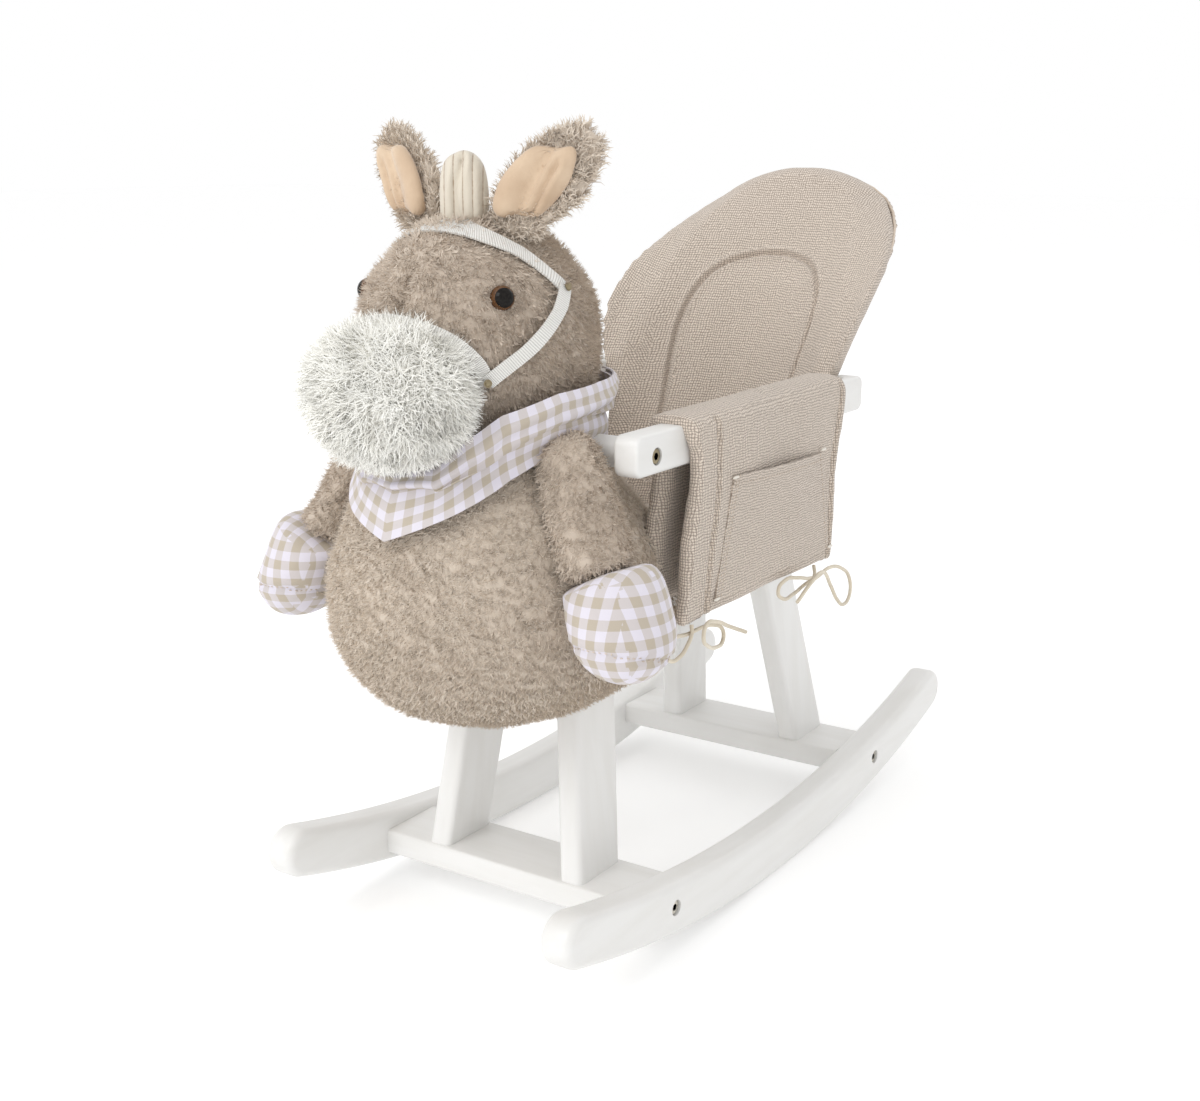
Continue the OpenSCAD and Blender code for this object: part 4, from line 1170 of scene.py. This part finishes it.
earRings = [(40, -238, 524, 15, 10), (43, -237, 534, 21, 11), (50, -233, 548, 30, 12), (58, -229, 562, 34, 12),
            (66, -226, 576, 33, 11), (74, -223, 588, 24, 9), (79, -221, 597, 9, 5)]
liningRings = [(45, -243, 538, 9, 7), (51, -242, 548, 17, 7), (58, -239, 562, 21, 7), (65, -236, 576, 19, 7),
               (72, -233, 587, 10, 6)]
liningMiddle = [(48, -251, 534), (53, -250, 548), (59, -247, 562), (66, -243, 576), (71, -240, 586)]


def mirrorRings(rings, side):
    return [(r[0] * side, r[1], r[2], r[3], r[4], *[t * side for t in r[5:]]) for r in rings]


for side, hand in ((1, "left"), (-1, "right")):
    rings = mirrorRings([(r[0], r[1], r[2], r[3] - 3, r[4] - 3, 20) for r in earRings], side)
    ear = furPiece(hand + "_ear_fur", rings, curlyFur, [hand + "_ear"], segments=24)
    plantFur(ear, earLock, plush["earDensity"], (side * 0.5, 0.2, 0.8), 0.8, 0.6, 11 + side)
    rings = mirrorRings([(r[0] - 1, r[1] - 4, r[2], r[3] + 3, r[4], 20) for r in liningRings], side)
    lining = furPiece(hand + "_ear_velour", rings, velour, [hand + "_ear_lining"], lumps=0.5,
                      segments=24)
    # dished along its middle, with a fold beside it
    middle = [at(side * x, y, z) for x, y, z in liningMiddle]
    groove(lining, curveThrough(middle, 4), 0.0045, 0.007, 0.0012)
    fold = [p + Vector((side * 0.009, 0, -0.002)) for p in middle[:4]]
    groove(lining, curveThrough(fold, 4), 0.003, 0.002, 0.0012)
print("ears made")

# forelock: a padded corduroy loop, pinched down its middle
loop = {"at": (0, -245), "rings": [(531, 18, 12.5), (540, 18.5, 13), (552, 19, 13), (562, 18.5, 13),
                                   (570, 17, 12), (576, 14, 9.5), (580, 9, 6), (581.5, 3, 2)]}
bm = bmesh.new()
loftRings(bm, [(*loop["at"], z, w, d) for z, w, d in loop["rings"]], 36)
forelock = finishPiece("forelock_loop", scaled(bm), corduroy, "frame", ["forelock"], 180)
sub = forelock.modifiers.new("sub", "SUBSURF")
sub.levels = sub.render_levels = 2
applyAll(forelock)
groove(forelock, [at(4 + 2 * sin(z / 9), -259, z) for z in range(533, 582, 4)], 0.0035, 0.0028, 0.0008)
for v, out in outwards(forelock):
    p = v.co * 1000
    v.co += out * noise.noise((p.x / 12, p.y / 12, p.z / 20)) * 0.0016

# arms and hooves
armRings = [(82, -242, 398, 9, 10), (83, -242, 392, 19, 20), (86, -244, 380, 24, 27), (91, -247, 362, 27, 30),
            (100, -250, 342, 27, 30), (111, -255, 324, 27, 30), (121, -259, 308, 27, 30)]
hoofRings = [(121, -259, 308, 27, 30), (130, -261, 299, 32, 36), (137, -263, 287, 35, 41),
             (142, -265, 272, 35, 40), (145, -267, 257, 31, 34), (147, -268, 246, 21, 23), (148, -268, 241, 8, 10)]
for side, hand in ((1, "left"), (-1, "right")):
    rings = mirrorRings([(r[0], r[1], r[2], max(4, r[3] - 3), max(5, r[4] - 3)) for r in armRings], side)

    def offBody(p, side=side):
        y, z = p.y * 1000 - baseY, p.z * 1000
        rx, ry, yc = (lookup(z, [(r[0], r[k]) for r in skinRings]) for k in (1, 2, 3))
        t = min(1.0, abs((y - yc) / ry))
        least = (rx + 1) * sqrt(1 - t * t)
        # the seam between arm and hoof runs higher on the outer side
        rise = 0.45 * (abs(p.x) * 1000 - 121) * smoothStep(1 - abs(z - 308) / 26)
        return Vector((side * max(abs(p.x), least / 1000), p.y, p.z + rise / 1000))

    arm = furPiece(hand + "_arm_fur", rings, darkerFur, [hand + "_arm"], hand + "_arm", squeeze=offBody, segments=28)
    plantFur(arm, curlLock, plush["armDensity"], (side * 0.2, -0.1, -1), 1.0, 0.45, 21 + side)
    hoof = furPiece(hand + "_hoof_cloth", mirrorRings(hoofRings, side), gingham, [hand + "_hoof"],
                    hand + "_arm", lumps=0.25, squeeze=offBody, segments=32)
    sole = [at(side * (143 + 34 * cos(a)), -266 + 38 * sin(a), 259 - 10 * sin(a))
            for a in [i * pi / 24 for i in range(49)]]
    groove(hoof, sole, 0.0022, 0.002, 0.0008)
    boxUv(hoof)
    stitches(hand + "_hoof_stitches", hoof, [sole], threadMat, body=hand + "_arm")
print("arms made")


# bridle and bandana
strap = {"width": 9, "thick": 1.4, "lift": 2.4}
# paths over the head, each point an angle round it and a height
browPath = [(-88, 494), (-76, 512), (-60, 524), (-36, 532), (-12, 535),
            (12, 535), (36, 532), (60, 524), (76, 512), (88, 494)]
cheekPath = [(88, 494), (81, 482), (73, 469), (63, 456), (53, 445), (45, 436)]
nosePath = [(-45, 436), (-42, 447), (-36, 457), (-27, 466), (-15, 472), (0, 475),
            (15, 472), (27, 466), (36, 457), (42, 447), (45, 436)]


def strapPiece(name, path, stands, lift):
    runs = curveThrough([Vector((a, z, 0)) for a, z in path], 5)
    mid = 80

    def place(u, v):
        f = u * (len(runs) - 1)
        i = min(int(f), len(runs) - 2)
        p = runs[i].lerp(runs[i + 1], f - i)
        d = runs[min(i + 1, len(runs) - 1)] - runs[max(i - 1, 0)]
        du, dv = radians(d.x) * mid, d.y
        size = sqrt(du * du + dv * dv)
        s = (v - 0.5) * strap["width"]
        return skinPoint(p.x - s * dv / size / mid * 180 / pi, p.y + s * du / size, lift)

    ends = [Vector(place(i / 40, 0.5)) for i in range(41)]
    length = sum((b - a).length for a, b in zip(ends, ends[1:])) / 1000
    return gridPiece(name, 90, 4, place, (length, 0.009), strap["thick"], webbing, "frame", stands)


strapPiece("brow_band_webbing", browPath, ["brow_band"], strap["lift"])
strapPiece("nose_band_webbing", nosePath, ["nose_band"], strap["lift"])
strapPiece("left_cheek_webbing", cheekPath, ["left_cheek_strap"], strap["lift"] + 1.8)
strapPiece("right_cheek_webbing", [(-a, z) for a, z in cheekPath], ["right_cheek_strap"], strap["lift"] + 1.8)


def rivet(b, a, z):
    made = bmesh.ops.create_uvsphere(b, u_segments=24, v_segments=12, radius=2)["verts"]
    bmesh.ops.scale(b, verts=made, vec=(1, 1, 0.45))
    rodAt(b, 2.7, 2.7, 0.7, (0, 0, -0.3), "Z", 28)
    rodAt(b, 1.5, 1.5, 5, (0, 0, -3), "Z", 12)
    out = Vector((sin(radians(a)), -cos(radians(a)), 0))
    turn = out.to_track_quat("Z", "Y").to_matrix().to_4x4()
    bmesh.ops.transform(b, matrix=Matrix.Translation(skinPoint(a, z, strap["lift"] + 4)) @ turn, verts=b.verts)


manyParts("bridle_rivet_set", [lambda b, a=a * s, z=z: rivet(b, a, z) for a, z in (cheekPath[0], cheekPath[-1])
                               for s in (1, -1)],
          agedBrass, ["bridle_rivets"])

scarf = {"low": [(0, 330), (26, 350), (50, 370), (72, 384), (180, 384)],
         "high": [(0, 372), (20, 377), (34, 396), (50, 413), (75, 424), (100, 427), (180, 425)],
         "out": [(345, 0), (372, 1), (388, 9), (405, 5), (424, 2)], "lift": 6.5, "thick": 1.2}


def scarfPlace(u, v):
    a = (u - 0.5) * 360
    low, high = lookup(abs(a), scarf["low"]), lookup(abs(a), scarf["high"])
    z = low + (high - low) * v
    fold = 2.4 * sin(v * 9 + a / 19) * smoothStep((abs(a) - 20) / 30) + 1.4 * noise.noise((a / 26, v * 2.5, 2.2))
    point = 2.2 * (1 - v) * smoothStep((50 - abs(a)) / 40)
    return skinPoint(a, z, scarf["lift"] + lookup(z, scarf["out"]) + fold + point)


def rollPlace(u, v):
    # the turned-over top edge, crossing the band at a slant
    a = (u - 0.5) * 300
    high = lookup(abs(a), scarf["high"]) + 1.5
    tall = 20 * smoothStep((150 - abs(a)) / 30) * smoothStep((abs(a) - 8) / 40) + 3
    slant = 8 * smoothStep((70 - a) / 60)
    z = high - tall * v - slant * v
    bulge = 4.4 * sin(pi * min(1, v * 1.05)) + 2.4 * sin(v * 11 + a / 13) * v
    off = scarf["lift"] + lookup(z, scarf["out"]) + 1.2 + bulge
    return skinPoint(a, z, off + 1.2 * noise.noise((a / 18, v * 3, 9.2)))


def scarfSize(place, v, steps=90):
    points = [Vector(place(i / steps, v)) for i in range(steps + 1)]
    return sum((b - a).length for a, b in zip(points, points[1:])) / 1000


bandLong, rollLong = scarfSize(scarfPlace, 0.5), scarfSize(rollPlace, 0.5)
scarfCloth = gridPiece("bandana_cloth", 220, 22, scarfPlace, (bandLong, 0.046), scarf["thick"], gingham, "frame",
                       ["bandana"], wrap=True)
scarfRoll = gridPiece("bandana_roll", 200, 16, rollPlace, (rollLong, 0.026), scarf["thick"], gingham, "frame",
                      [])
print("bridle and bandana made")

for lock in (curlLock, pileLock, earLock):
    bpy.data.objects.remove(lock)

# floor and light
bm = bmesh.new()
bmesh.ops.create_grid(bm, x_segments=1, y_segments=1, size=20)
floorMesh = bpy.data.meshes.new("floor")
bm.to_mesh(floorMesh)
bm.free()
floor = bpy.data.objects.new("floor", floorMesh)
scene.collection.objects.link(floor)
floorMat = newMaterial("floor", (0.9, 0.9, 0.9), 0.9, Emission_Color=(1, 1, 1, 1), Emission_Strength=0.2)
floorMesh.materials.append(floorMat)
world = bpy.data.worlds.new("world")
scene.world = world
world.use_nodes = True
world.node_tree.nodes["Background"].inputs["Color"].default_value = (1, 1, 1, 1)
# the backdrop shows white, and lights the toy a little less than it shows
path = world.node_tree.nodes.new("ShaderNodeLightPath")
glow = world.node_tree.nodes.new("ShaderNodeMapRange")
glow.inputs["To Min"].default_value = 0.88
glow.inputs["To Max"].default_value = 1.0
world.node_tree.links.new(path.outputs["Is Camera Ray"], glow.inputs["Value"])
world.node_tree.links.new(glow.outputs["Result"], world.node_tree.nodes["Background"].inputs["Strength"])
for name, place, size, power in (("key", (-0.4, -2.8, 2.3), 1.6, 38), ("fill", (-2.4, -1.2, 1.6), 2.2, 5),
                                 ("back", (0.4, 2.4, 2.2), 1.8, 8)):
    data = bpy.data.lights.new(name, "AREA")
    data.size = size
    data.energy = power
    lamp = bpy.data.objects.new(name, data)
    lamp.location = place
    lamp.rotation_euler = (Vector((0, 0, 0.3)) - Vector(place)).to_track_quat("-Z", "Y").to_euler()
    scene.collection.objects.link(lamp)
scene.view_settings.view_transform = "Standard"

print("scene made")
